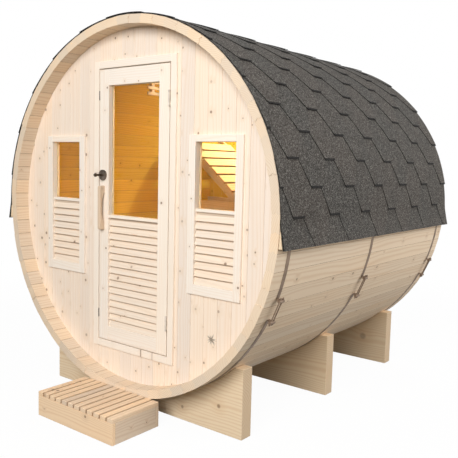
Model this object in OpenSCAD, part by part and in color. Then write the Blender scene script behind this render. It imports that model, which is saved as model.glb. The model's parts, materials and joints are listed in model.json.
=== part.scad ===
// Outdoor barrel sauna on cradles: hooped staves, glazed door and windows, shingled roof and a step.
// The origin is on the ground under the middle cradle, the door faces -Y and +Z is up.

/* [Barrel] */
// Outer diameter over the staves
barrel_d = 2000; // [1800:10:2200]
// Length of the staves
barrel_l = 2000; // [1800:10:2400]
// Thickness of the staves
stave_t = 45; // [38:1:50]
// Number of staves, a multiple of eight
stave_n = 72; // [64, 72, 80]
// Radius of the bead on a stave's edge, and of the cove that takes it
bead_r = 7; // [5:0.5:8]
// Underside of the barrel above the ground
barrel_lift = 103; // [95:1:130]

/* [End walls] */
// Thickness of the end walls
wall_t = 42; // [36:1:48]
// Stave ends standing proud of the wall faces
wall_inset = 88; // [75:1:110]
// Depth of the groove in the staves that holds the walls
croze_depth = 12; // [8:1:15]

/* [Door] */
// Width of the door leaf
door_w = 528; // [500:1:540]
// Thickness of the door leaf
door_t = 44; // [40:1:48]
// Room between the barrel's bore and the bottom of the leaf
door_foot = 202; // [195:1:240]
// Room between the top of the leaf and the barrel's bore
door_head = 204; // [190:1:240]
// Width of the door's stiles
stile_w = 73; // [66:1:82]
// Height of the door's top rail
top_rail_h = 88; // [70:1:100]
// Height of the bar under the door glass
mid_rail_h = 16; // [12:1:30]
// Height of the door's bottom rail
bottom_rail_h = 80; // [65:1:100]
// Height of the glass that shows in the door
door_glass_h = 706; // [600:1:760]
// Width of the door frame's members
frame_w = 38; // [32:1:44]
// Fronts of the frame and casings standing proud of the wall
frame_proud = 12; // [8:1:16]

/* [Windows] */
// Width of a window opening
window_w = 250; // [220:1:260]
// Height of a window opening
window_h = 706; // [640:1:740]
// Wall that shows between the door frame and a window's casing
window_gap = 88; // [70:1:110]
// Middle of a window above the barrel's middle
window_rise = 6; // [-20:1:30]
// Height of the glass that shows in a window
window_glass_h = 328; // [280:1:380]
// Width of the casing beside a window
casing_side_w = 44; // [38:1:48]
// Width of the casing over a window
casing_top_w = 34; // [28:1:48]
// Width of the casing under a window
casing_bottom_w = 52; // [40:1:58]

/* [Louvres] */
// Slats in the door
door_slat_n = 16; // [14:1:17]
// Slats in each window
window_slat_n = 9; // [7:1:9]
// Thickness of a louvre slat
slat_t = 8; // [6:1:9]
// Lean of the louvre slats
slat_tilt = 20; // [18:1:24]
// Lap of each louvre slat over the next
slat_lap = 4; // [2:1:6]

/* [Roof] */
// Thickness of the shingles at the foot of a course
shingle_t = 16; // [12:0.5:18]
// Thickness of the shingles at the head of a course
shingle_head_t = 5; // [4.5:0.5:6]
// Angle that one course shows
course_angle = 7.65; // [7.3:0.05:7.8]
// Eaves below the barrel's middle
eave_drop = 114; // [105:1:125]
// Outer edge of an eave from the barrel's middle, beyond the staves
eave_flare = 31; // [28:1:36]
// Shingles standing past the stave ends
roof_overhang = 2; // [0:1:12]

/* [Hoops] */
// Width of a hoop
hoop_w = 25; // [20:1:32]
// Thickness of a hoop
hoop_t = 1; // [0.8:0.1:1.2]
// End hoops from the stave ends
hoop_inset = 95; // [85:1:100]
// Middle hoop in front of the middle cradle
hoop_lead = 70; // [60:1:90]

/* [Cradles] */
// Width of a cradle
cradle_w = 1440; // [1300:10:1500]
// Height of a cradle
cradle_h = 359; // [320:1:380]
// Thickness of a cradle
cradle_t = 77; // [60:1:90]
// Middle of an end cradle from the stave ends
cradle_inset = 170; // [160:1:260]
// Middle cradle behind the barrel's middle
cradle_shift = 12; // [0:1:20]

/* [Step] */
// Width of the step
step_w = 584; // [500:1:640]
// Depth of the step
step_d = 314; // [260:1:360]
// Height of the step
step_h = 131; // [115:1:150]
// Slats on the step
step_slat_n = 12; // [9:1:13]
// Gap between the step's slats
step_slat_gap = 8; // [5:1:12]

/* [Inside] */
// Top of the floor below the door frame
floor_drop = 6; // [3:1:20]
// Slats in the lounger back
lounger_slat_n = 7; // [5:1:7]
// Lean of the lounger back from the level
lounger_angle = 39.6; // [36:0.1:42]
// Length of the lounger back along the barrel
lounger_l = 500; // [400:5:620]

/* [Hidden] */
$fn = 96;

// Colours
SPRUCE = [0.90, 0.80, 0.66];
PALE_SPRUCE = [0.93, 0.85, 0.73];
PANE = [0.80, 0.62, 0.36, 0.5];
DARK_METAL = [0.20, 0.19, 0.18];
STEEL = [0.62, 0.62, 0.62];
SHINGLE = [0.25, 0.26, 0.27];

// Fits
seat_gap = 0.3;
stave_joint = 0.4;
overrun = 5;

// Barrel
barrel_r = barrel_d / 2;
bore_r = barrel_r - stave_t;
axis_z = barrel_lift + barrel_r;
front_y = -barrel_l / 2 - cradle_shift;
rear_y = front_y + barrel_l;
stave_angle = 360 / stave_n;
segment_staves = stave_n / 8;
bore_flat_r = bore_r * cos(stave_angle / 2);
bead_ring_r = (bore_r + barrel_r) / 2;
croze_r = bore_r + croze_depth;
wall_r = croze_r * cos(stave_angle / 2) - seat_gap;

// End walls
wall_y = front_y + wall_inset;
wall_back_y = wall_y + wall_t;
back_wall_y = rear_y - wall_inset - wall_t;

// Door frame
free_gap = 8;
door_gap = 6;
stop_gap = 5;
stop_t = 24;
stop_lap = 12;
trim_y = wall_y - frame_proud;
leaf_back_y = trim_y + door_t;
stop_y = leaf_back_y + stop_gap;
frame_back_y = stop_y + stop_t;
leaf_x0 = -door_w / 2;
leaf_x1 = door_w / 2;
door_z = axis_z - bore_r + door_foot;
leaf_z1 = axis_z + bore_r - door_head;
jamb_x0 = leaf_x0 - free_gap;
jamb_x1 = leaf_x1 + door_gap;
lintel_z = leaf_z1 + door_gap;
threshold_z = door_z - door_gap;
frame_x0 = jamb_x0 - frame_w;
frame_x1 = jamb_x1 + frame_w;
frame_z0 = threshold_z - frame_w;
frame_z1 = lintel_z + frame_w;

// Door leaf
glass_t = 6;
glass_lap = 8;
glass_inset = 28;
glass_z1 = leaf_z1 - top_rail_h;
glass_z0 = glass_z1 - door_glass_h;
mid_rail_z = glass_z0 - mid_rail_h;
bottom_rail_z1 = door_z + bottom_rail_h;
slat_front_inset = 6;

// Door furniture
handle_l = 245;
handle_w = 22;
handle_d = 34;
handle_setback = 32;
handle_rise = 748;
handle_x = leaf_x0 + handle_setback;
handle_z = door_z + handle_rise;
grip_l = 170;
grip_d = 20;
handle_round = 10;
rosette_d = 58;
rosette_t = 9;
latch_setback = 31;
latch_rise = 929;
latch_x = leaf_x0 + latch_setback;
latch_z = door_z + latch_rise;
knob_root_d = 16;
knob_tip_d = 10;
knob_out = 66;
knob_wing_w = 20;
knob_wing_t = 7;
knob_wing_l = 22;
knob_play = 0.5;

// Hinges
hinge_h = 78;
hinge_low_inset = 135;
hinge_high_inset = 135;
hinge_low_z = door_z + hinge_low_inset;
hinge_high_z = leaf_z1 - hinge_high_inset - hinge_h;
hinge_standoff = 8;
hinge_x = (leaf_x1 + jamb_x1) / 2;
hinge_y = trim_y - hinge_standoff;
knuckle_d = 10;
knuckle_play = 0.5;
pin_d = 5;
pin_play = 0.3;
plate_t = 2;
plate_l = 34;
plate_setback = 2;

// Windows
lining_t = 18;
window_x = max(-frame_x0, frame_x1) + window_gap + casing_side_w + window_w / 2;
window_z = axis_z + window_rise - window_h / 2;
window_z1 = window_z + window_h;
window_glass_z0 = window_z1 - window_glass_h;
transom_h = 16;
window_glass_inset = 34;

// Roof
roof_r = barrel_r + hoop_t + 2 * seat_gap;
course_n = 12;
ridge_half_angle = 4.7;
eave_angle = 90 - course_n * course_angle - ridge_half_angle;
eave_x = barrel_r + eave_flare;
batten_rise = 75;
batten_foot = 5;

// Hoops
hoop_r = barrel_r + seat_gap;
lug_angles = [-20.5, -27];
lug_mid_angle = (lug_angles[0] + lug_angles[1]) / 2;
lug_half_angle = (lug_angles[0] - lug_angles[1]) / 2;
lug_stand = 22;
lug_plate_t = 5;
lug_plate_margin = 2;
lug_plate_w = hoop_w - 2 * lug_plate_margin;
lug_bar_d = 16;
lug_bar_l = 38;
rod_d = 6;
rod_spread = 20;
rod_tail = 18;

// Cradles
cradle_pitch = barrel_l / 2 - cradle_inset;

// Step
step_board_t = 20;
step_slat_t = 22;

// Inside
floor_t = 28;
floor_z = frame_z0 - floor_drop;
lounger_y1 = back_wall_y - seat_gap;
lounger_y0 = lounger_y1 - lounger_l;
lounger_base_drop = 23;
lounger_foot_x = -250;
lounger_base_z = axis_z - lounger_base_drop;
lounger_rail_w = 45;
lounger_rail_t = 28;
lounger_head_gap = 101;
lounger_slat_gap = 16;
lounger_slat_t = 18;
// The sloping rail from its foot to the staves: a line that meets the bore's circle
lounger_foot_fall = lounger_foot_x * cos(lounger_angle) + lounger_base_drop * sin(lounger_angle);
lounger_foot_r = norm([lounger_foot_x, lounger_base_drop]);
lounger_rail_l = lounger_foot_fall
    + sqrt(lounger_foot_fall ^ 2 + bore_flat_r ^ 2 - lounger_foot_r ^ 2);
lounger_slat_pitch = (lounger_rail_l - lounger_head_gap) / lounger_slat_n;
lounger_slat_w = lounger_slat_pitch - lounger_slat_gap;
lounger_base_h = 60;
lounger_post_w = 50;
shade_side_share = 0.5236;
shade_setback = 593;
shade_l = 260;
shade_slat_n = 3;
shade_slat_t = 10;
shade_slat_h = 20;
shade_slat_pitch = 37;
shade_head_gap = 9;
shade_batten_w = 24;
shade_batten_d = 22;
shade_batten_inset = 40;
shade_x = -bore_r * shade_side_share;
shade_y = wall_y + shade_setback;
shade_back_x = shade_x - shade_slat_t - shade_batten_d;
shade_head_z = axis_z + sqrt(bore_flat_r ^ 2 - shade_back_x ^ 2);

// Helpers

// A point at an angle round the barrel's axis
function polar(r, a) = [r * cos(a), r * sin(a)];

// A box from its lowest to its highest corner
module block(low, high) {
    translate(low) cube(high - low);
}

// A flat outline in X and Z, drawn out from y0 to y1
module along_y(y0, y1) {
    translate([0, y1, 0]) rotate([90, 0, 0]) linear_extrude(height = y1 - y0) children();
}

// An outline measured from the barrel's axis
module on_axis() {
    translate([0, axis_z]) children();
}

// Half the angle a stave fills at a radius
function stave_half(r) = stave_angle / 2 - asin(stave_joint / 2 / r);

// One stave's section: bevelled sides, a bead on one edge and the cove for the next bead on the other
module stave_section(a) {
    half0 = stave_half(bore_r);
    half1 = stave_half(barrel_r);
    bead_a = a + stave_half(bead_ring_r);
    difference() {
        union() {
            polygon([polar(bore_r, a - half0), polar(barrel_r, a - half1),
                     polar(barrel_r, a + half1), polar(bore_r, a + half0)]);
            translate(polar(bead_ring_r, bead_a)) circle(r = bead_r, $fn = 32);
        }
        translate(polar(bead_ring_r, bead_a - stave_angle)) circle(r = bead_r + stave_joint, $fn = 32);
    }
}

// One stave with the grooves that hold the end walls
module stave(a) {
    difference() {
        along_y(front_y, rear_y) on_axis() stave_section(a);
        for (y = [wall_y, back_wall_y])
            along_y(y - seat_gap, y + wall_t + seat_gap) on_axis() groove_section(a);
    }
}

// The part of a stave's section that a groove takes away
module groove_section(a) {
    polygon([polar(bore_r - overrun, a - stave_angle), polar(croze_r, a - stave_angle / 2),
             polar(croze_r, a + stave_angle / 2), polar(bore_r - overrun, a + stave_angle)]);
}

// A segment of the barrel wall round a middle angle
module stave_segment(middle) {
    color(SPRUCE)
        for (i = [0 : segment_staves - 1])
            stave(middle + (i - (segment_staves - 1) / 2) * stave_angle);
}

// The part of an end wall inside a rectangle of X and Z
module wall_panel(x0, x1, z0, z1) {
    intersection() {
        along_y(wall_y, wall_back_y) on_axis() circle(r = wall_r, $fn = 180);
        block([x0, wall_y - overrun, z0], [x1, wall_back_y + overrun, z1]);
    }
}

// The wall around one window, from its inner edge beside the door frame
module window_wall(side, inner_x) {
    cut_in = window_x - window_w / 2 - lining_t - seat_gap;
    cut_out = window_x + window_w / 2 + lining_t + seat_gap;
    cut_z0 = window_z - lining_t - seat_gap;
    cut_z1 = window_z1 + lining_t + seat_gap;
    mirror([side < 0 ? 1 : 0, 0, 0]) {
        wall_panel(inner_x + seat_gap, cut_in, 0, axis_z + barrel_r);
        wall_panel(cut_out, barrel_r, 0, axis_z + barrel_r);
        wall_panel(cut_in + seat_gap, cut_out - seat_gap, 0, cut_z0);
        wall_panel(cut_in + seat_gap, cut_out - seat_gap, cut_z1, axis_z + barrel_r);
    }
}

// Leaning slats that fill a louvre between two heights
module louvre(x0, x1, z0, z1, y, count) {
    pitch = (z1 - z0 - slat_lap - 2 * seat_gap) / count;
    lean_h = pitch + slat_lap;
    for (i = [0 : count - 1])
        translate([0, y, z0 + i * pitch + seat_gap])
            along_x(x0 + seat_gap, x1 - seat_gap)
                polygon([[0, 0], [slat_t / cos(slat_tilt), 0],
                         [slat_t / cos(slat_tilt) + lean_h * tan(slat_tilt), lean_h],
                         [lean_h * tan(slat_tilt), lean_h]]);
}

// A flat outline in Y and Z, drawn out from x0 to x1
module along_x(x0, x1) {
    translate([x0, 0, 0]) rotate([90, 0, 90]) linear_extrude(height = x1 - x0) children();
}

// The door's pane, grown by a clearance
module door_pane(clear) {
    y = trim_y + glass_inset;
    block([leaf_x0 + stile_w - glass_lap - clear, y - clear, glass_z0 - glass_lap - clear],
          [leaf_x1 - stile_w + glass_lap + clear, y + glass_t + clear, glass_z1 + glass_lap + clear]);
}

// Hinge knuckle and plate heights: a knuckle spans a third of the hinge
module knuckle(z0, z1) {
    translate([hinge_x, hinge_y, z0]) cylinder(d = knuckle_d, h = z1 - z0);
}

// Barrel

module staves_right() { stave_segment(0); }
module staves_upper_right() { stave_segment(45); }
module staves_top() { stave_segment(90); }
module staves_upper_left() { stave_segment(135); }
module staves_left() { stave_segment(180); }
module staves_lower_left() { stave_segment(225); }
module staves_bottom() { stave_segment(270); }
module staves_lower_right() { stave_segment(315); }

// End walls

module front_wall_left() { color(PALE_SPRUCE) window_wall(-1, -frame_x0); }
module front_wall_right() { color(PALE_SPRUCE) window_wall(1, frame_x1); }

module front_wall_head() {
    color(PALE_SPRUCE)
        wall_panel(frame_x0, frame_x1, frame_z1 + seat_gap, axis_z + barrel_r);
}

module front_wall_sill() {
    color(PALE_SPRUCE)
        wall_panel(frame_x0, frame_x1, 0, frame_z0 - seat_gap);
}

module back_wall() {
    color(PALE_SPRUCE)
        along_y(back_wall_y, back_wall_y + wall_t) on_axis() circle(r = wall_r, $fn = 180);
}

// Door frame

module door_jambs() {
    color(PALE_SPRUCE) {
        block([frame_x0, trim_y, frame_z0], [jamb_x0, frame_back_y, frame_z1]);
        block([jamb_x1, trim_y, frame_z0], [frame_x1, frame_back_y, frame_z1]);
    }
}

module door_lintel() {
    color(PALE_SPRUCE)
        block([jamb_x0 + seat_gap, trim_y, lintel_z], [jamb_x1 - seat_gap, frame_back_y, frame_z1]);
}

module door_threshold() {
    color(PALE_SPRUCE)
        block([jamb_x0 + seat_gap, trim_y, frame_z0], [jamb_x1 - seat_gap, frame_back_y, threshold_z]);
}

module door_stops() {
    in_x0 = leaf_x0 + stop_lap;
    in_x1 = leaf_x1 - stop_lap;
    in_z0 = door_z + stop_lap;
    in_z1 = leaf_z1 - stop_lap;
    color(PALE_SPRUCE) {
        block([jamb_x0 + seat_gap, stop_y, threshold_z + seat_gap], [in_x0, frame_back_y, lintel_z - seat_gap]);
        block([in_x1, stop_y, threshold_z + seat_gap], [jamb_x1 - seat_gap, frame_back_y, lintel_z - seat_gap]);
        block([in_x0 + seat_gap, stop_y, in_z1], [in_x1 - seat_gap, frame_back_y, lintel_z - seat_gap]);
        block([in_x0 + seat_gap, stop_y, threshold_z + seat_gap], [in_x1 - seat_gap, frame_back_y, in_z0]);
    }
}

// Windows

// Both windows, mirrored about the barrel's middle
module both_windows() {
    children();
    mirror([1, 0, 0]) children();
}

module window_casings() {
    x0 = window_x - window_w / 2;
    x1 = window_x + window_w / 2;
    back_y = wall_y - seat_gap;
    color(PALE_SPRUCE) both_windows() {
        for (x = [x0 - casing_side_w, x1])
            block([x, trim_y, window_z - casing_bottom_w],
                  [x + casing_side_w, back_y, window_z1 + casing_top_w]);
        block([x0 + seat_gap, trim_y, window_z1], [x1 - seat_gap, back_y, window_z1 + casing_top_w]);
        block([x0 + seat_gap, trim_y, window_z - casing_bottom_w], [x1 - seat_gap, back_y, window_z]);
    }
}

// One window's pane, grown by a clearance
module window_pane(clear) {
    y = trim_y + window_glass_inset;
    block([window_x - window_w / 2 - glass_lap - clear, y - clear, window_glass_z0 - glass_lap - clear],
          [window_x + window_w / 2 + glass_lap + clear, y + glass_t + clear, window_z1 + glass_lap + clear]);
}

module window_linings() {
    x0 = window_x - window_w / 2;
    x1 = window_x + window_w / 2;
    color(PALE_SPRUCE) both_windows() difference() {
        union() {
            for (x = [x0 - lining_t, x1])
                block([x, wall_y, window_z - lining_t], [x + lining_t, wall_back_y, window_z1 + lining_t]);
            for (z = [window_z - lining_t, window_z1])
                block([x0 + seat_gap, wall_y, z], [x1 - seat_gap, wall_back_y, z + lining_t]);
            block([x0 + seat_gap, wall_y, window_glass_z0 - transom_h],
                  [x1 - seat_gap, wall_back_y, window_glass_z0]);
        }
        window_pane(seat_gap);
    }
}

module window_glass() {
    color(PANE) both_windows() window_pane(0);
}

module window_louvres() {
    color(PALE_SPRUCE) both_windows()
        louvre(window_x - window_w / 2, window_x + window_w / 2, window_z, window_glass_z0 - transom_h,
               trim_y + slat_front_inset, window_slat_n);
}

// Door leaf

module door_stiles() {
    color(PALE_SPRUCE) difference() {
        for (x = [leaf_x0, leaf_x1 - stile_w])
            block([x, trim_y, door_z], [x + stile_w, leaf_back_y, leaf_z1]);
        door_pane(seat_gap);
    }
}

module door_rails() {
    x0 = leaf_x0 + stile_w + seat_gap;
    x1 = leaf_x1 - stile_w - seat_gap;
    color(PALE_SPRUCE) difference() {
        union() {
            block([x0, trim_y, glass_z1], [x1, leaf_back_y, leaf_z1]);
            block([x0, trim_y, mid_rail_z], [x1, leaf_back_y, glass_z0]);
            block([x0, trim_y, door_z], [x1, leaf_back_y, bottom_rail_z1]);
        }
        door_pane(seat_gap);
    }
}

module door_glass() { color(PANE) door_pane(0); }

module door_louvre() {
    color(PALE_SPRUCE)
        louvre(leaf_x0 + stile_w, leaf_x1 - stile_w, bottom_rail_z1, mid_rail_z,
               trim_y + slat_front_inset, door_slat_n);
}

// Door furniture

module door_handle() {
    grip_r = (grip_l * grip_l / 4 + grip_d * grip_d) / (2 * grip_d);
    color(PALE_SPRUCE)
        translate([0, trim_y - seat_gap, handle_z])
            along_x(handle_x - handle_w / 2, handle_x + handle_w / 2)
                difference() {
                    union() {
                        translate([-handle_d, handle_round - handle_l / 2])
                            square([handle_d, handle_l - 2 * handle_round]);
                        translate([handle_round - handle_d, -handle_l / 2])
                            square([handle_d - handle_round, handle_l]);
                        for (z = [-1, 1])
                            translate([handle_round - handle_d, z * (handle_l / 2 - handle_round)])
                                circle(r = handle_round);
                    }
                    translate([grip_r - grip_d, 0]) circle(r = grip_r, $fn = 180);
                }
}

module latch_rosette() {
    color(DARK_METAL)
        translate([latch_x, trim_y - seat_gap, latch_z]) rotate([90, 0, 0])
            difference() {
                cylinder(d = rosette_d, h = rosette_t);
                translate([0, 0, -overrun])
                    cylinder(d = knob_root_d + 2 * knob_play, h = rosette_t + 2 * overrun);
            }
}

module latch_knob() {
    color(DARK_METAL)
        translate([latch_x, trim_y - seat_gap - knob_play, latch_z]) rotate([90, 0, 0]) {
            cylinder(d = knob_root_d, h = rosette_t);
            translate([0, 0, rosette_t])
                cylinder(d1 = knob_root_d, d2 = knob_tip_d, h = knob_out - rosette_t);
            intersection() {
                translate([-knob_wing_t / 2, -knob_wing_w / 2, knob_out - knob_wing_l])
                    cube([knob_wing_t, knob_wing_w, knob_wing_l]);
                translate([0, 0, knob_out - knob_wing_w / 2]) rotate([0, 90, 0])
                    cylinder(d = knob_wing_w, h = knob_wing_w, center = true);
            }
        }
}

// Hinges

module hinge_frame_leaves() {
    third = hinge_h / 3;
    plate_y = trim_y + plate_setback;
    color(STEEL)
        for (z = [hinge_low_z, hinge_high_z]) {
            for (zk = [z, z + 2 * third]) {
                knuckle(zk, zk + third);
                block([jamb_x1 - seat_gap - plate_t, hinge_y, zk],
                      [jamb_x1 - seat_gap, plate_y + overrun, zk + third]);
            }
            translate([hinge_x, hinge_y, z]) cylinder(d = pin_d, h = hinge_h);
            block([jamb_x1 - seat_gap - plate_t, plate_y, z],
                  [jamb_x1 - seat_gap, plate_y + plate_l, z + hinge_h]);
        }
}

module hinge_door_leaves() {
    third = hinge_h / 3;
    plate_y = trim_y + plate_setback;
    color(STEEL)
        for (z = [hinge_low_z, hinge_high_z])
            difference() {
                union() {
                    knuckle(z + third + knuckle_play, z + 2 * third - knuckle_play);
                    block([leaf_x1 + seat_gap, hinge_y, z + third + knuckle_play],
                          [leaf_x1 + seat_gap + plate_t, plate_y + overrun, z + 2 * third - knuckle_play]);
                    block([leaf_x1 + seat_gap, plate_y, z],
                          [leaf_x1 + seat_gap + plate_t, plate_y + plate_l, z + hinge_h]);
                }
                translate([hinge_x, hinge_y, z])
                    cylinder(d = pin_d + 2 * pin_play, h = hinge_h);
            }
}

// Roof

// The steps of the right half's outer outline, where one course ends on the next
function course_points() =
    [for (i = [1 : course_n], t = [shingle_head_t, shingle_t])
        polar(roof_r + t, eave_angle + i * course_angle)];

function mirrored(points) = [for (i = [len(points) - 1 : -1 : 0]) [-points[i][0], points[i][1]]];

// The flared covering's inner face at a drop below the barrel's middle
function flare_x(drop) = roof_r + (eave_x - shingle_t - roof_r) * drop / eave_drop;

// Section of the wedge batten under the right eave
module batten_section() {
    foot_drop = eave_drop - batten_foot;
    head_drop = foot_drop - batten_rise;
    difference() {
        polygon([[bore_r, -foot_drop], [flare_x(foot_drop) - seat_gap, -foot_drop],
                 [flare_x(head_drop) - seat_gap, -head_drop], [bore_r, -head_drop]]);
        circle(r = roof_r, $fn = 360);
    }
}

// The room under the flared eaves
module flare_room() {
    low = eave_drop + overrun;
    polygon([[roof_r, 0], [flare_x(low), -low], [-flare_x(low), -low], [-roof_r, 0]]);
}

module roof_section() {
    right = concat([[0, -eave_drop], [eave_x, -eave_drop]], course_points());
    difference() {
        polygon(concat(right, mirrored(right)));
        circle(r = roof_r, $fn = 360);
        flare_room();
    }
}

module roof_covering() {
    color(SHINGLE)
        along_y(front_y - roof_overhang, rear_y + roof_overhang) on_axis() roof_section();
}

module eave_battens() {
    color(SPRUCE) along_y(front_y, rear_y) on_axis() {
        batten_section();
        mirror([1, 0]) batten_section();
    }
}

// Hoops

// A hoop: a band that ends at two lugs, and the rods that draw the lugs together
module hoop(y) {
    rod_r = (barrel_r + lug_stand) * cos(lug_half_angle);
    reach = (barrel_r + lug_stand) * sin(lug_half_angle);
    color(STEEL) translate([0, y, axis_z]) {
        rotate([90, 0, 0]) rotate([0, 0, lug_angles[0]])
            rotate_extrude(angle = 360 - 2 * lug_half_angle, $fn = 360)
                translate([hoop_r, -hoop_w / 2]) square([hoop_t, hoop_w]);
        for (a = lug_angles) rotate([0, -a, 0]) {
            translate([hoop_r + hoop_t / 2, -lug_plate_w / 2, -lug_plate_t / 2])
                cube([lug_stand, lug_plate_w, lug_plate_t]);
            translate([barrel_r + lug_stand, 0, 0]) rotate([90, 0, 0])
                cylinder(d = lug_bar_d, h = lug_bar_l, center = true);
        }
        rotate([0, -lug_mid_angle, 0]) for (s = [-1, 1])
            translate([rod_r, s * rod_spread / 2, 0])
                cylinder(d = rod_d, h = 2 * (reach + rod_tail), center = true);
    }
}

module hoop_front() { hoop(front_y + hoop_inset); }
module hoop_middle() { hoop(-hoop_lead); }
module hoop_rear() { hoop(rear_y - hoop_inset); }

// Cradles

module cradle(y) {
    color(SPRUCE)
        along_y(y - cradle_t / 2, y + cradle_t / 2)
            difference() {
                translate([-cradle_w / 2, 0]) square([cradle_w, cradle_h]);
                on_axis() circle(r = barrel_r + seat_gap, $fn = 360);
            }
}

module cradle_front() { cradle(-cradle_pitch); }
module cradle_middle() { cradle(0); }
module cradle_rear() { cradle(cradle_pitch); }

// Step

module step_frame() {
    y1 = front_y - seat_gap;
    y0 = y1 - step_d;
    top = step_h - step_slat_t;
    in_y0 = y0 + step_board_t + seat_gap;
    in_y1 = y1 - step_board_t - seat_gap;
    color(PALE_SPRUCE) {
        for (y = [y0, y1 - step_board_t])
            block([-step_w / 2, y, 0], [step_w / 2, y + step_board_t, top]);
        for (x = [-step_w / 2, step_w / 2 - step_board_t])
            block([x, in_y0, 0], [x + step_board_t, in_y1, top]);
    }
}

module step_slats() {
    y1 = front_y - seat_gap;
    slat_w = (step_w - (step_slat_n - 1) * step_slat_gap) / step_slat_n;
    color(PALE_SPRUCE)
        for (i = [0 : step_slat_n - 1])
            translate([i * (slat_w + step_slat_gap) - step_w / 2, y1 - step_d, step_h - step_slat_t + seat_gap])
                cube([slat_w, step_d, step_slat_t - seat_gap]);
}

// Inside

module floor_deck() {
    color(SPRUCE) intersection() {
        along_y(wall_back_y + seat_gap, back_wall_y - seat_gap)
            on_axis() circle(r = bore_flat_r - seat_gap, $fn = 360);
        block([-barrel_r, front_y, floor_z - floor_t], [barrel_r, rear_y, floor_z]);
    }
}

// The lounger back's sloping rail, from its foot on the base rail to the staves
module lounger_rail_section() {
    foot_z = lounger_base_z + seat_gap;
    slope = [-cos(lounger_angle), sin(lounger_angle)];
    foot_w = lounger_rail_w / sin(lounger_angle);
    foot = [lounger_foot_x, foot_z];
    polygon([foot, foot + barrel_r * slope, foot + barrel_r * slope - [foot_w, 0], foot - [foot_w, 0]]);
}

// One end frame of the lounger back, from its front face: post, base rail and sloping rail
module lounger_frame(y) {
    base_low_z = lounger_base_z - lounger_base_h;
    intersection() {
        union() {
            along_y(y, y + lounger_rail_t) lounger_rail_section();
            block([-barrel_r, y, base_low_z], [lounger_foot_x, y + lounger_rail_t, lounger_base_z]);
            block([lounger_foot_x - lounger_post_w, y, floor_z + seat_gap],
                  [lounger_foot_x, y + lounger_rail_t, base_low_z - seat_gap]);
        }
        along_y(y - overrun, y + lounger_rail_t + overrun)
            on_axis() circle(r = bore_flat_r - seat_gap, $fn = 360);
    }
}

module lounger_frames() {
    color(SPRUCE) {
        lounger_frame(lounger_y0);
        lounger_frame(lounger_y1 - lounger_rail_t);
    }
}

module lounger_slats() {
    color(SPRUCE)
        translate([lounger_foot_x, lounger_y0, lounger_base_z + seat_gap]) rotate([0, lounger_angle, 0])
            for (i = [1 : lounger_slat_n])
                translate([-i * lounger_slat_pitch, 0, seat_gap])
                    cube([lounger_slat_w, lounger_l, lounger_slat_t]);
}

// Level slats on two battens that hang from the staves
module lamp_shade() {
    top_z = shade_head_z - shade_head_gap;
    low_z = top_z - (shade_slat_n - 1) * shade_slat_pitch - shade_slat_h;
    batten_far = shade_l - shade_batten_inset - shade_batten_w;
    color(SPRUCE) intersection() {
        union() {
            for (i = [0 : shade_slat_n - 1])
                translate([shade_x - shade_slat_t, shade_y, low_z + i * shade_slat_pitch])
                    cube([shade_slat_t, shade_l, shade_slat_h]);
            for (y = [shade_batten_inset, batten_far])
                block([shade_back_x, shade_y + y, low_z],
                      [shade_x - shade_slat_t / 2, shade_y + y + shade_batten_w, axis_z + bore_r]);
        }
        along_y(shade_y - overrun, shade_y + shade_l + overrun)
            on_axis() circle(r = bore_flat_r - seat_gap, $fn = 360);
    }
}

staves_right();
staves_upper_right();
staves_top();
staves_upper_left();
staves_left();
staves_lower_left();
staves_bottom();
staves_lower_right();
front_wall_left();
front_wall_right();
front_wall_head();
front_wall_sill();
back_wall();
door_jambs();
door_lintel();
door_threshold();
door_stops();
window_casings();
window_linings();
window_glass();
window_louvres();
door_stiles();
door_rails();
door_glass();
door_louvre();
door_handle();
latch_rosette();
latch_knob();
hinge_frame_leaves();
hinge_door_leaves();
roof_covering();
eave_battens();
hoop_front();
hoop_middle();
hoop_rear();
cradle_front();
cradle_middle();
cradle_rear();
step_frame();
step_slats();
floor_deck();
lounger_frames();
lounger_slats();
lamp_shade();
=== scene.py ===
"""Outdoor barrel sauna: finishes, boards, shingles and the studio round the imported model.

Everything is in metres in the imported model's frame: +Z up, the door facing -Y, the ground at Z = 0.
"""

from __future__ import annotations

import json
import logging
import math
import random
from collections.abc import Callable, Iterable, Mapping, Sequence
from dataclasses import dataclass, field
from enum import Enum

import bmesh
import bpy
import numpy as np
from bmesh.types import BMEdge, BMesh, BMVert
from bpy.types import Material, Mesh, Node, NodeSocket, Object
from mathutils import Matrix, Vector

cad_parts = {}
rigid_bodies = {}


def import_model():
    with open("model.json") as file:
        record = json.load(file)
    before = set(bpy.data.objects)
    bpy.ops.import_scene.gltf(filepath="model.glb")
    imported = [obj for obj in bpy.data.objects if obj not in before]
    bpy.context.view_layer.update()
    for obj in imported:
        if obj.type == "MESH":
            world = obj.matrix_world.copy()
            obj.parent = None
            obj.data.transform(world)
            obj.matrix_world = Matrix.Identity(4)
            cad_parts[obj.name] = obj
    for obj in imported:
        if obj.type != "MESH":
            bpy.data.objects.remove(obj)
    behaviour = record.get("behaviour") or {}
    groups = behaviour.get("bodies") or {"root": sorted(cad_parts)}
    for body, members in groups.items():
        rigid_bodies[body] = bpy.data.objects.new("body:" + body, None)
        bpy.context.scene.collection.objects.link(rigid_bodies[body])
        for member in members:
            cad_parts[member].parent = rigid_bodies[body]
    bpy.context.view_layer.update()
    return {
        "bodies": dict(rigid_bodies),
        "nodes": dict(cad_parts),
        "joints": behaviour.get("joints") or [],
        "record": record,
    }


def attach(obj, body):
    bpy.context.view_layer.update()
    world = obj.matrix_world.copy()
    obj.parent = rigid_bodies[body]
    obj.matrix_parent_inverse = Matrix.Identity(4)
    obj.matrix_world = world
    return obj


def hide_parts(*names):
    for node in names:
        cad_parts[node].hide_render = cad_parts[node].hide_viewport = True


log = logging.getLogger("sauna")

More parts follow.
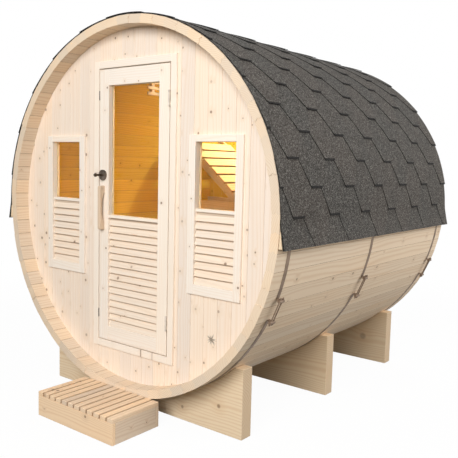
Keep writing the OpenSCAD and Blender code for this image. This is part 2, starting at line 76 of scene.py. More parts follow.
Colour = tuple[float, float, float]
Place = tuple[float, float, float]
Point = tuple[float, float]
Feed = NodeSocket | float | int | str | bool | Sequence[float] | Material
WHITE: Colour = (1.0, 1.0, 1.0)
# Height of the barrel's axis
AXIS_Z = 1.103
# Corners closer together than this are one
MERGE = 1e-5
# Faces that meet at less than this are one flat face
FLAT = math.radians(0.2)
# A face is turned a way if its normal holds at least this share of it
FACING = 0.5


class Layer(str, Enum):
    """Mesh attributes that the finishes read."""

    GRAIN = "grain"
    TONE = "tone"
    # Darkens cut faces, joints and end grain, and carries painted shade in slat gaps, stave seams and under
    # louvre laps
    EDGE = "edge"
    RISE = "rise"


class Body(str, Enum):
    """The bodies that new pieces ride on."""

    CABIN = "cabin"
    DOOR = "door"


class Slot(str, Enum):
    """The record's finish slots by name; the pieces here take their finishes from Finishes, not from these.
    """

    STAVES = "barrel_staves"
    BOARDS = "wall_boards"
    JOINERY = "joinery"
    METAL = "dark_metal"
    SHINGLES = "shingles"
    CRADLE = "cradle_timber"
    STEEL = "hoop_steel"
    STEP = "step_timber"
    INSIDE = "inside_boards"


def display(red: int, green: int, blue: int) -> Colour:
    """Gives linear light for a display colour of 0 to 255."""

    def linear(level: int) -> float:
        """One channel by the display curve."""
        share = level / 255
        return share / 12.92 if share <= 0.04045 else ((share + 0.055) / 1.055) ** 2.4

    return linear(red), linear(green), linear(blue)


class Nodes:
    """Short calls that add nodes to one tree and wire them."""

    def __init__(self, tree: bpy.types.NodeTree) -> None:
        """Takes the tree that the calls add to."""
        self.tree = tree

    def feed(self, socket: NodeSocket, value: Feed) -> None:
        """Links a source to an input, or sets the input's constant.

        Args:
            socket: The input.
            value: An output socket or a constant.
        """
        if isinstance(value, NodeSocket):
            self.tree.links.new(value, socket)
        elif socket.type == "RGBA":
            socket.default_value = (*value, 1.0)
        else:
            socket.default_value = value

    def add(self, kind: str, feeds: Mapping[int | str, Feed] | None = None, **settings: object) -> Node:
        """Adds a node.

        Args:
            kind: The node's type name.
            feeds: Sources or constants for its inputs, by place or name.
            settings: Values for the node's own properties.

        Returns:
            The new node.
        """
        node = self.tree.nodes.new(kind)
        for key, value in settings.items():
            setattr(node, key, value)
        for key, value in (feeds or {}).items():
            self.feed(node.inputs[key], value)
        return node

    def math(self, operation: str, *values: Feed) -> NodeSocket:
        """Adds a sum on numbers.

        Args:
            operation: The math node's operation.
            values: Its inputs in order.

        Returns:
            The result's socket.
        """
        return self.add("ShaderNodeMath", dict(enumerate(values)), operation=operation).outputs[0]

    def times(self, first: Feed, second: Feed) -> NodeSocket:
        """Multiplies two numbers."""
        return self.math("MULTIPLY", first, second)

    def scaled(self, value: Feed, factor: Feed, more: Feed) -> NodeSocket:
        """Multiplies a number by a factor and adds more to it."""
        return self.math("MULTIPLY_ADD", value, factor, more)

    def length(self, first: Feed, second: Feed) -> NodeSocket:
        """The length of a line whose two parts stand at right angles."""
        squares = [self.math("POWER", part, 2.0) for part in (first, second)]
        return self.math("SQRT", self.math("ADD", *squares))

    def vector(self, operation: str, first: Feed, second: Feed) -> NodeSocket:
        """Adds a sum on two vectors and returns the result's socket."""
        return self.add("ShaderNodeVectorMath", {0: first, 1: second}, operation=operation).outputs[0]

    def combine(self, x: Feed, y: Feed, z: Feed) -> NodeSocket:
        """Joins three numbers to a vector."""
        return self.add("ShaderNodeCombineXYZ", {0: x, 1: y, 2: z}).outputs[0]

    def split(self, vector: NodeSocket) -> tuple[NodeSocket, NodeSocket, NodeSocket]:
        """Parts a vector into its three numbers."""
        x, y, z = self.add("ShaderNodeSeparateXYZ", {0: vector}).outputs
        return x, y, z


class Shader(Nodes):
    """One material's node tree, round its Principled shader."""

    def __init__(self, name: str) -> None:
        """Starts a material of that name."""
        self.material = bpy.data.materials.new(name)
        self.material.use_nodes = True
        super().__init__(self.material.node_tree)
        self.surface = self.tree.nodes["Principled BSDF"]

    def set(self, **feeds: Feed) -> None:
        """Feeds the shader's inputs, named with _ for a space."""
        for key, value in feeds.items():
            self.feed(self.surface.inputs[key.replace("_", " ")], value)

    def attribute(self, layer: Layer) -> Node:
        """Reads one of the mesh's attributes."""
        return self.add("ShaderNodeAttribute", attribute_name=layer.value)

    def place(self) -> NodeSocket:
        """Gives the Object coordinates."""
        return self.add("ShaderNodeTexCoord").outputs["Object"]

    def noise(self, place: NodeSocket, scale: float, detail: float = 2.0, rough: float = 0.5) -> NodeSocket:
        """Adds a noise texture.

        Args:
            place: Where it is read.
            scale: Lumps in a metre of that place.
            detail: Octaves.
            rough: Share that each octave keeps.

        Returns:
            The noise, about 0 to 1.
        """
        feeds = {"Vector": place, "Scale": scale, "Detail": detail, "Roughness": rough}
        return self.add("ShaderNodeTexNoise", feeds).outputs[0]

    def streaks(self, place: NodeSocket, scales: Place, detail: float = 2.0,
                rough: float = 0.5) -> NodeSocket:
        """Adds a noise with its own scale along each direction."""
        return self.noise(self.vector("MULTIPLY", place, scales), 1.0, detail, rough)

    def ramp(self, value: Feed, low: Feed, high: Feed, start: Feed = 0.0, end: Feed = 1.0) -> NodeSocket:
        """Maps a value smoothly from one range to another.

        Args:
            value: What is mapped.
            low: The value that gives start.
            high: The value that gives end.
            start: The result at low.
            end: The result at high.

        Returns:
            The mapped value.
        """
        feeds = {0: value, 1: low, 2: high, 3: start, 4: end}
        return self.add("ShaderNodeMapRange", feeds, interpolation_type="SMOOTHSTEP").outputs[0]

    def mix(self, share: Feed, first: Feed, second: Feed, blend: str = "MIX") -> NodeSocket:
        """Mixes two colours.

        Args:
            share: How much of the second.
            first: Colour at 0.
            second: Colour at 1.
            blend: The mix node's way.

        Returns:
            The mixed colour.
        """
        feeds = {0: share, 6: first, 7: second}
        return self.add("ShaderNodeMix", feeds, data_type="RGBA", blend_type=blend).outputs[2]

    def bump(self, height: NodeSocket, depth: float, strength: float = 1.0) -> None:
        """Roughs up the surface by a height.

        Args:
            height: The height, about 0 to 1.
            depth: What 1 stands for, in metres.
            strength: Share of it that shows.
        """
        node = self.add("ShaderNodeBump", {"Height": height, "Distance": depth, "Strength": strength})
        self.feed(self.surface.inputs["Normal"], node.outputs[0])


@dataclass(frozen=True)
class StarKnot:
    """One large knot with cracks, at a place on the front boards."""

    x: float = 0.560
    z: float = 0.492
    reach: float = 0.040
    least_share: float = 0.35
    core_share: float = 0.30
    rays: float = 3.4
    ray_range: Point = (0.42, 0.66)
    cover: float = 0.9
    colour: Colour = display(134, 122, 108)


@dataclass(frozen=True)
class Room:
    """The space inside the cabin, where oil and heat have turned the wood amber."""

    axis_z: float = AXIS_Z
    radius: float = 0.9585
    front_y: float = -0.8822
    back_y: float = 0.8582
    amber: Colour = (0.88, 0.745, 0.12)


@dataclass(frozen=True)
class Spruce:
    """Planed spruce: grain along each board, growth rings, small knots and a tone for each board.

    It reads the grain layer, a place in the board with X along its length, and the tone layer.
    A scale is in lumps to a metre along, across and into the board.
    """

    name: str
    early: Colour = display(247, 234, 222)
    late: Colour = display(231, 206, 177)
    knot: Colour = display(130, 102, 80)
    # Colour of dark joints and end grain, and of the painted shade in slat gaps, stave seams and under louvre
    # laps
    seam_and_shade: Colour = display(150, 118, 88)
    warm: Colour = (1.0, 0.93, 0.86)
    warm_range: Point = (0.42, 0.72)
    warm_share: float = 0.35
    patch_scale: Place = (1.6, 9.0, 9.0)
    tone_spread: float = 0.10
    tone_green: float = 0.4
    tone_shift: Place = (37.0, 5.3, 1.7)
    fibre_scale: Place = (7.0, 330.0, 330.0)
    fibre_share: float = 0.20
    ring_pitch: float = 0.0085
    ring_share: float = 0.42
    ring_edge: float = 2.2
    heart_depth: float = 0.09
    drift_scale: Place = (1.1, 6.0, 6.0)
    drift: float = 0.10
    knots_per_metre: float = 9.0
    knot_rate: float = 0.85
    knot_sizes: Point = (0.042, 0.055)
    knot_growth: float = 2.5
    knot_rag: Point = (320.0, 0.016)
    knot_rim: Point = (1.25, 0.55)
    knot_depths: Point = (0.32, 0.60)
    knot_bend: float = 0.010
    halo_reach: float = 5.0
    halo_share: float = 0.32
    roughness: float = 0.62
    streak_roughness: float = 0.18
    shine: float = 0.3
    relief: Point = (0.6, -0.5)
    relief_depth: float = 0.0004
    star: StarKnot | None = None
    room: Room | None = None

    def material(self) -> Material:
        """Builds the node material."""
        shader = Shader(self.name)
        grain = shader.attribute(Layer.GRAIN).outputs["Vector"]
        tone = shader.attribute(Layer.TONE).outputs["Fac"]
        shift = shader.vector("MULTIPLY", shader.combine(tone, tone, tone), self.tone_shift)
        place = shader.vector("ADD", grain, shift)
        core, halo = self.knots(shader, place)
        rings = self.rings(shader, grain, place, halo)
        fibre = shader.streaks(place, self.fibre_scale, 3.0, 0.6)
        streak = shader.scaled(fibre, self.fibre_share, shader.times(rings, self.ring_share))
        colour = self.toned(shader, shader.mix(streak, self.early, self.late), place, tone)
        colour = shader.mix(shader.times(halo, self.halo_share), colour, self.late)
        colour = shader.mix(core, colour, self.knot)
        if self.star:
            colour = self.star_knot(shader, colour)
        # Darker joints, cut faces and end grain, with the painted shade in slat gaps, stave seams and under
        # louvre laps
        edge = shader.attribute(Layer.EDGE).outputs["Fac"]
        colour = shader.mix(edge, colour, self.seam_and_shade)
        if self.room:
            colour = self.aged(shader, colour)
        shader.set(Base_Color=colour, Roughness=shader.scaled(streak, self.streak_roughness, self.roughness),
                   Specular_IOR_Level=self.shine)
        fibre_relief, ring_relief = self.relief
        height = shader.scaled(fibre, fibre_relief, shader.times(rings, ring_relief))
        shader.bump(height, self.relief_depth)
        return shader.material

    def toned(self, shader: Shader, colour: NodeSocket, place: NodeSocket, tone: NodeSocket) -> NodeSocket:
        """Warms the wood in patches and gives each board its own shade.

        Args:
            shader: The material being built.
            colour: The colour under it.
            place: The place in the board, moved for each board.
            tone: The board's tone.

        Returns:
            The toned colour.
        """
        patch = shader.ramp(shader.streaks(place, self.patch_scale), *self.warm_range)
        colour = shader.mix(shader.times(patch, self.warm_share), colour, self.warm, "MULTIPLY")
        shade = shader.scaled(tone, self.tone_spread, 1.0 - self.tone_spread / 2)
        green = shader.scaled(tone, -self.tone_green * self.tone_spread, 1.0)
        blue = shader.scaled(tone, -self.tone_spread, 1.0)
        tint = shader.combine(shade, shader.times(shade, green), shader.times(shade, blue))
        return shader.mix(1.0, colour, tint, "MULTIPLY")

    def knots(self, shader: Shader, place: NodeSocket) -> tuple[NodeSocket, NodeSocket]:
        """Scatters round knots.

        Args:
            shader: The material being built.
            place: The place in the board.

        Returns:
            Masks of the knots and of the bent grain round them.
        """
        cells = shader.add("ShaderNodeTexVoronoi", {"Vector": place, "Scale": self.knots_per_metre},
                           voronoi_dimensions="2D")
        pick, size, depth = shader.split(cells.outputs["Color"])
        kept = shader.math("LESS_THAN", pick, self.knot_rate)
        least, growth = self.knot_sizes
        radius = shader.scaled(shader.math("POWER", size, self.knot_growth), growth, least)
        distance = cells.outputs["Distance"]
        rag_scale, rag = self.knot_rag
        ragged = shader.scaled(shader.noise(place, rag_scale), rag, distance)
        core = shader.ramp(ragged, *[shader.times(radius, share) for share in self.knot_rim])
        halo = shader.ramp(distance, shader.times(radius, self.halo_reach), radius)
        palest, deeper = self.knot_depths
        dark = shader.times(kept, shader.scaled(depth, deeper, palest))
        return shader.times(core, dark), shader.times(halo, kept)

    def rings(self, shader: Shader, grain: NodeSocket, place: NodeSocket, halo: NodeSocket) -> NodeSocket:
        """Draws the growth rings that a saw cut shows.

        Args:
            shader: The material being built.
            grain: The place in the board from its middle.
            place: The same, moved for each board.
            halo: Where knots bend the grain.

        Returns:
            The rings' dark share, 0 to 1.
        """
        _, across, depth = shader.split(grain)
        bent = shader.scaled(shader.streaks(place, self.drift_scale), self.drift, across)
        bent = shader.scaled(halo, self.knot_bend, bent)
        heart = shader.length(bent, shader.math("ADD", depth, self.heart_depth))
        wave = shader.math("SINE", shader.times(heart, math.tau / self.ring_pitch))
        return shader.math("POWER", shader.scaled(wave, 0.5, 0.5), self.ring_edge)

    def aged(self, shader: Shader, colour: NodeSocket) -> NodeSocket:
        """Turns the faces inside the cabin amber.

        Args:
            shader: The material being built.
            colour: The colour under it.

        Returns:
            The colour, amber inside.
        """
        x, y, z = shader.split(shader.place())
        reach = shader.length(x, shader.math("SUBTRACT", z, self.room.axis_z))
        within = shader.times(shader.math("LESS_THAN", reach, self.room.radius),
                              shader.math("GREATER_THAN", y, self.room.front_y))
        within = shader.times(within, shader.math("LESS_THAN", y, self.room.back_y))
        return shader.mix(within, colour, self.room.amber, "MULTIPLY")

    def star_knot(self, shader: Shader, colour: NodeSocket) -> NodeSocket:
        """Lays the large cracked knot over the colour.

        Args:
            shader: The material being built.
            colour: The colour under it.

        Returns:
            The colour with the knot.
        """
        star = self.star
        x, _, z = shader.split(shader.place())
        across = shader.math("SUBTRACT", x, star.x)
        up = shader.math("SUBTRACT", z, star.z)
        angle = shader.math("ARCTAN2", up, across)
        around = shader.combine(shader.math("COSINE", angle), shader.math("SINE", angle), 0.0)
        rays = shader.noise(around, star.rays, 3.0)
        edge = shader.ramp(rays, *star.ray_range, star.reach * star.least_share, star.reach)
        mask = shader.ramp(shader.length(across, up), edge, shader.times(edge, star.core_share))
        return shader.mix(shader.times(mask, star.cover), colour, star.colour)


@dataclass(frozen=True)
class Specks:
    """Specks of one colour, on the stretch of a pattern that they take."""

    colour: Colour
    low: float
    high: float
    share: float

    def over(self, shader: Shader, colour: NodeSocket, pattern: NodeSocket) -> NodeSocket:
        """Lays the specks over a colour."""
        share = shader.ramp(pattern, self.low, self.high, 0.0, self.share)
        return shader.mix(share, colour, self.colour)


@dataclass(frozen=True)
class FeltShingle:
    """Granule-faced bitumen shingle: speckled grey, a tone for each tab, dark cut edges and a dark band along
    each tab's foot that is partly painted shade.
    """

    name: str = "shingle_granules"
    grey: Colour = display(60, 58, 55)
    brown: Colour = display(71, 65, 60)
    fleck: Colour = display(158, 154, 147)
    pit: Colour = display(34, 33, 33)
    # Colour of the cut edges, and of the band along each tab's foot that is partly painted shade
    cut: Colour = display(20, 19, 19)
    cut_and_foot_shade_share: float = 0.92
    # The band along each tab's foot, in courses up the tab: the bare bitumen edge with painted shade along
    # the foot
    foot_shade_band: Point = (0.085, 0.055)
    granules_per_metre: float = 330.0
    granules: tuple[Specks, ...] = (Specks(fleck, 0.72, 0.98, 0.55), Specks(pit, 0.34, 0.04, 0.60))
    clumps_per_metre: float = 120.0
    clumps: tuple[Specks, ...] = (Specks(fleck, 0.52, 0.70, 0.46), Specks(pit, 0.46, 0.28, 0.62))
    clouds_per_metre: float = 9.0
    cloud_share: float = 0.9
    tone_share: float = 0.5
    hue_range: Point = (0.30, 1.10)
    roughness: float = 0.96
    granule_gloss: float = 0.12
    shine: float = 0.25
    relief: Point = (0.6, 0.8)
    relief_depth: float = 0.0009
    relief_share: float = 0.7

    def material(self) -> Material:
        """Builds the node material."""
        shader = Shader(self.name)
        place = shader.place()
        layers = (Layer.TONE, Layer.EDGE, Layer.RISE)
        tone, edge, rise = (shader.attribute(layer).outputs["Fac"] for layer in layers)
        cells = shader.add("ShaderNodeTexVoronoi", {"Vector": place, "Scale": self.granules_per_metre})
        granule, _, _ = shader.split(cells.outputs["Color"])
        clump = shader.noise(place, self.clumps_per_metre, 3.0, 0.7)
        cloud = shader.noise(place, self.clouds_per_metre)
        hue = shader.scaled(cloud, self.cloud_share, shader.times(tone, self.tone_share))
        colour = shader.mix(shader.ramp(hue, *self.hue_range), self.grey, self.brown)
        for pattern, kinds in ((granule, self.granules), (clump, self.clumps)):
            for specks in kinds:
                colour = specks.over(shader, colour, pattern)
        # Cut edges, and the band along each tab's foot: bare bitumen with painted shade
        dark = shader.math("MAXIMUM", edge, shader.ramp(rise, *self.foot_shade_band))
        colour = shader.mix(shader.times(dark, self.cut_and_foot_shade_share), colour, self.cut)
        shader.set(Base_Color=colour, Roughness=shader.scaled(granule, -self.granule_gloss, self.roughness),
                   Specular_IOR_Level=self.shine)
        granule_relief, clump_relief = self.relief
        height = shader.scaled(granule, granule_relief, shader.times(clump, clump_relief))
        shader.bump(height, self.relief_depth, self.relief_share)
        return shader.material


@dataclass(frozen=True)
class Steel:
    """Rolled metal: a worn film over a brushed ground."""

    name: str
    ground: Colour
    worn: Colour
    metallic: float
    roughness: float
    film_scale: float = 22.0
    wear_range: Point = (0.38, 0.70)
    grain_scale: float = 160.0
    grain_roughness: float = 0.25
    relief_depth: float = 0.00012
    relief_share: float = 0.5

    def material(self) -> Material:
        """Builds the node material."""
        shader = Shader(self.name)
        place = shader.place()
        wear = shader.ramp(shader.noise(place, self.film_scale, 4.0, 0.6), *self.wear_range)
        grain = shader.noise(place, self.grain_scale, 3.0, 0.7)
        shader.set(Base_Color=shader.mix(wear, self.ground, self.worn), Metallic=self.metallic,
                   Roughness=shader.scaled(grain, self.grain_roughness, self.roughness))
        shader.bump(grain, self.relief_depth, self.relief_share)
        return shader.material


@dataclass(frozen=True)
class BronzeGlass:
    """Toughened low-glare pane with a warm tint and a trace of smear."""

    name: str = "bronze_pane"
    tint: Colour = (1.0, 0.94, 0.78)
    ior: float = 1.2
    smear_scale: float = 5.0
    smear_range: Point = (0.55, 0.85)
    smear_roughness: float = 0.025

    def material(self) -> Material:
        """Builds the node material."""
        shader = Shader(self.name)
        smear = shader.noise(shader.place(), self.smear_scale, 3.0)
        shader.set(Base_Color=self.tint, IOR=self.ior, Transmission_Weight=1.0,
                   Roughness=shader.ramp(smear, *self.smear_range, 0.0, self.smear_roughness))
        return shader.material


class Finishes:
    """The finishes of the whole sauna, each built once."""

    def __init__(self) -> None:
        """Builds every material."""
        self.staves = Spruce("stave_spruce", early=display(238, 222, 202), late=display(214, 186, 156),
                             knot=display(150, 122, 96), tone_spread=0.14, knots_per_metre=5.5, knot_rate=0.4,
                             knot_sizes=(0.024, 0.030), room=Room()).material()
        self.boards = Spruce("board_spruce", ring_share=0.25, star=StarKnot(), room=Room()).material()
        self.joinery = Spruce("joinery_spruce", early=display(252, 243, 232), late=display(240, 219, 198),
                              knot_rate=0.28, tone_spread=0.05, ring_share=0.28).material()
        # A darker copy of the joinery wood: painted shade for the leaning louvre slats, which catch less
        # light
        self.louvre = Spruce("louvre_spruce_shaded", early=display(242, 228, 212), late=display(228, 204, 180),
                             knot_rate=0.28, tone_spread=0.06, ring_share=0.28).material()
        self.handle = Spruce("handle_spruce", early=display(224, 203, 180), late=display(204, 177, 149),
                             knot_rate=0.0, tone_spread=0.05).material()
        self.cradle = Spruce("cradle_spruce", early=display(246, 226, 196), late=display(222, 188, 148),
                             knots_per_metre=3.6, ring_pitch=0.012, knot_rate=0.8).material()
        # Wide tone spread: with the seed chosen in Groundwork it also paints light on the step's front board
        # and shade on its right side board
        self.step = Spruce("step_spruce", early=display(239, 220, 198), late=display(215, 185, 156),
                           tone_spread=0.22, knot_rate=0.4).material()
        self.inside = Spruce("inside_spruce", early=display(212, 196, 176), late=display(190, 162, 131),
                             tone_spread=0.12, knot_rate=0.4).material()
        self.shingle = FeltShingle().material()
        self.hoop = Steel("hoop_zinc", display(138, 118, 100), display(106, 87, 72), 0.6, 0.42).material()
        self.hinge = Steel("hinge_satin", display(222, 212, 200), display(190, 178, 165), 0.2, 0.5).material()
        self.metal = Steel("dark_iron", display(72, 62, 53), display(118, 106, 94), 0.7, 0.3).material()
        self.keeper = Steel("keeper_iron", display(58, 47, 40), display(74, 62, 53), 0.2, 0.55).material()
        self.glass = BronzeGlass().material()


def new_solid() -> BMesh:
    """Starts an empty bmesh with the layers that the finishes read."""
    solid = bmesh.new()
    solid.verts.layers.float_vector.new(Layer.GRAIN.value)
    solid.verts.layers.float.new(Layer.TONE.value)
    solid.faces.layers.float.new(Layer.EDGE.value)
    return solid


def solids_of(frame: dict, nodes: Iterable[str]) -> BMesh:
    """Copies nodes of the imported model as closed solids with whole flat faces.

    Args:
        frame: What the frame loader returned.
        nodes: The nodes' names.

    Returns:
        A new bmesh, which the caller frees.
    """
    solid = new_solid()
    for node in nodes:
        solid.from_mesh(frame["nodes"][node].data)
    bmesh.ops.remove_doubles(solid, verts=solid.verts, dist=MERGE)
    bmesh.ops.dissolve_limit(solid, angle_limit=FLAT, verts=solid.verts, edges=solid.edges)
    return solid


def islands(solid: BMesh) -> list[list[BMVert]]:
    """Groups a bmesh's corners by the solid that they belong to."""
    groups: list[list[BMVert]] = []
    seen: set[BMVert] = set()
    for start in solid.verts:
        if start in seen:
            continue
        seen.add(start)
        group = [start]
        for corner in group:
            for edge in corner.link_edges:
                other = edge.other_vert(corner)
                if other not in seen:
                    seen.add(other)
                    group.append(other)
        groups.append(group)
    return groups


def centre_of(group: Sequence[BMVert]) -> Vector:
    """The mean of a group of corners."""
    return sum((v.co for v in group), Vector()) / len(group)


def prism(outline: Sequence[Point], y0: float, y1: float) -> BMesh:
    """Draws an outline in X and Z out along Y to a closed solid.

    Args:
        outline: Its points in order.
        y0: One end.
        y1: The other end.

    Returns:
        A new bmesh with its faces outwards.
    """
    solid = new_solid()
    ends = [[solid.verts.new((x, y, z)) for x, z in outline] for y in (y0, y1)]
    solid.faces.new(ends[0])
    solid.faces.new(reversed(ends[1]))
    for i in range(len(outline)):
        j = (i + 1) % len(outline)
        solid.faces.new((ends[0][j], ends[0][i], ends[1][i], ends[1][j]))
    bmesh.ops.recalc_face_normals(solid, faces=solid.faces)
    return solid


def saw(solid: BMesh, spot: Sequence[float], outward: Sequence[float], share: float = 0.0) -> None:
    """Cuts a bmesh at a plane, drops what lies beyond it, and closes and marks the cut.

    Args:
        solid: What is cut.
        spot: A point of the plane.
        outward: The plane's direction, towards what drops off.
        share: The edge layer's value on the cut.
    """
    cut = bmesh.ops.bisect_plane(solid, geom=[*solid.verts, *solid.edges, *solid.faces], dist=MERGE,
                                 plane_co=spot, plane_no=outward, clear_outer=True)
    rims = [part for part in cut["geom_cut"] if isinstance(part, BMEdge) and part.is_boundary]
    mark = solid.faces.layers.float[Layer.EDGE.value]
    for face in bmesh.ops.holes_fill(solid, edges=rims)["faces"]:
        face[mark] = share


def take_in(whole: BMesh, part: BMesh) -> None:
    """Adds a part's solids to a whole and frees the part.

    Args:
        whole: What they go into.
        part: The bmesh that is used up.
    """
    spare = mesh_of(part, "spare_part")
    whole.from_mesh(spare)
    bpy.data.meshes.remove(spare)


def round_off(solid: BMesh, edges: Sequence[BMEdge], width: float, steps: int = 2,
              seam_and_shade: float = 0.0) -> None:
    """Rounds edges of a bmesh and marks the new faces as part of a joint.

    Args:
        solid: What is rounded.
        edges: Its edges.
        width: How far the round reaches into each face.
        steps: Facets across the round.
        seam_and_shade: The edge layer's value on the new faces.
    """
    made = bmesh.ops.bevel(solid, geom=list(edges), offset=width, offset_type="OFFSET", segments=steps,
                           profile=0.5, affect="EDGES", clamp_overlap=True)["faces"]
    mark = solid.faces.layers.float[Layer.EDGE.value]
    for face in made:
        face[mark] = seam_and_shade


def ease(solid: BMesh, width: float, least_angle: float = 25.0) -> None:
    """Rounds the arrises of a bmesh.

    Args:
        solid: What is eased.
        width: How far the round reaches into each face.
        least_angle: Edges that turn less than this, in degrees, stay as they are.
    """
    limit = math.radians(least_angle)
    round_off(solid, [e for e in solid.edges if e.is_manifold and e.calc_face_angle() > limit], width)


def shade_joints(mesh: Mesh, along: Vector, share: float, end: float = 0.004, facing: float = 0.3) -> None:
    """Paints shade on the faces in the joints of a row of slats, but not on the row's own two ends.

    Args:
        mesh: The whole row.
        along: The row's direction.
        share: The edge layer's value there.
        end: How far from either end of the row a face counts as the end.
        facing: How squarely a face has to stand across the row.
    """
    ahead = along.normalized()
    reach = [ahead.dot(corner.co) for corner in mesh.vertices]
    low, high = min(reach) + end, max(reach) - end
    mark = mesh.attributes[Layer.EDGE.value].data
    for face in mesh.polygons:
        if low < ahead.dot(face.center) < high and abs(face.normal.dot(ahead)) > facing:
            mark[face.index].value = share


def shade_laps(solid: BMesh, drop: float, share: float = 0.48) -> None:
    """Marks the top of leaning slats' fronts, which lies in the shade of the slat above.

    Args:
        solid: Slats of one height with their fronts towards -Y.
        drop: How far down the shade reaches.
        share: The edge layer's value there.
    """
    level = max(corner.co.z for corner in solid.verts) - drop
    bmesh.ops.bisect_plane(solid, geom=[*solid.verts, *solid.edges, *solid.faces], dist=MERGE,
                           plane_co=(0, 0, level), plane_no=(0, 0, 1))
    solid.normal_update()
    mark = solid.faces.layers.float[Layer.EDGE.value]
    for face in solid.faces:
        if face.calc_center_median().z > level and face.normal.y < 0:
            face[mark] = share


def grain_axes(points: np.ndarray) -> np.ndarray:
    """Finds the length, width and depth directions of a piece of timber.

    Args:
        points: The corners, one in a row.

    Returns:
        Three rows, each a direction with its largest part positive.
    """
    _, directions = np.linalg.eigh(np.cov(points.T))
    rows = directions.T[::-1]
    signs = np.sign(rows[np.arange(3), np.abs(rows).argmax(axis=1)])
    return rows * signs[:, None]


def lay_grain(solid: BMesh, seed: int, end_share: float = 0.0, facing: float = 0.9) -> None:
    """Gives each solid of a bmesh its own grain along its length, a tone and darker end grain.

    Args:
        solid: The timbers.
        seed: Fixes the tones.
        end_share: The edge layer's value on the sawn ends.
        facing: How squarely a face has to stand across the length to be a sawn end.
    """
    tones = random.Random(seed)
    mark = solid.faces.layers.float[Layer.EDGE.value]
    grain = solid.verts.layers.float_vector[Layer.GRAIN.value]
    tone = solid.verts.layers.float[Layer.TONE.value]
    for group in islands(solid):
        points = np.array([v.co for v in group])
        axes = grain_axes(points)
        places = (points - points.mean(axis=0)) @ axes.T
        level = tones.random()
        for corner, place in zip(group, places):
            corner[grain] = Vector(place)
            corner[tone] = level
        if end_share:
            for face in {face for corner in group for face in corner.link_faces}:
                if abs(face.normal.dot(Vector(axes[0]))) > facing:
                    face[mark] = end_share


def mesh_of(solid: BMesh, name: str) -> Mesh:
    """Writes a bmesh to a new mesh and frees it.

    Args:
        solid: The bmesh.
        name: The mesh's name.

    Returns:
        The mesh.
    """
    mesh = bpy.data.meshes.new(name)
    solid.to_mesh(mesh)
    solid.free()
    return mesh


def show(mesh: Mesh, name: str) -> Object:
    """Puts a mesh in the scene as an object at the origin."""
    piece = bpy.data.objects.new(name, mesh)
    bpy.context.scene.collection.objects.link(piece)
    return piece


def piece_of(solid: BMesh, name: str, finish: Material) -> Object:
    """Puts a bmesh in the scene as a piece with its finish, and frees it.

    Args:
        solid: The bmesh.
        name: The piece's name.
        finish: Its material.

    Returns:
        The piece.
    """
    mesh = mesh_of(solid, name)
    mesh.materials.append(finish)
    return show(mesh, name)


def hand_over(piece: Object, body: Body, nodes: Sequence[str] = ()) -> None:
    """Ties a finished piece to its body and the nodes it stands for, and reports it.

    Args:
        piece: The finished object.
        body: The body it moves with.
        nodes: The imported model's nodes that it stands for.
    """
    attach(piece, body.value)
    if nodes:
        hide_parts(*nodes)
    log.info("%s: %d faces on %s", piece.name, len(piece.data.polygons), body.value)


def dress_node(frame: dict, node: str, material: Material) -> None:
    """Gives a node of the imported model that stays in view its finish.

    Args:
        frame: What the frame loader returned.
        node: The node's name.
        material: Its finish.
    """
    shown = frame["nodes"][node]
    if not shown.material_slots:
        shown.data.materials.append(material)
    for place in shown.material_slots:
        place.material = material
    log.info("%s: finished as %s", node, material.name)


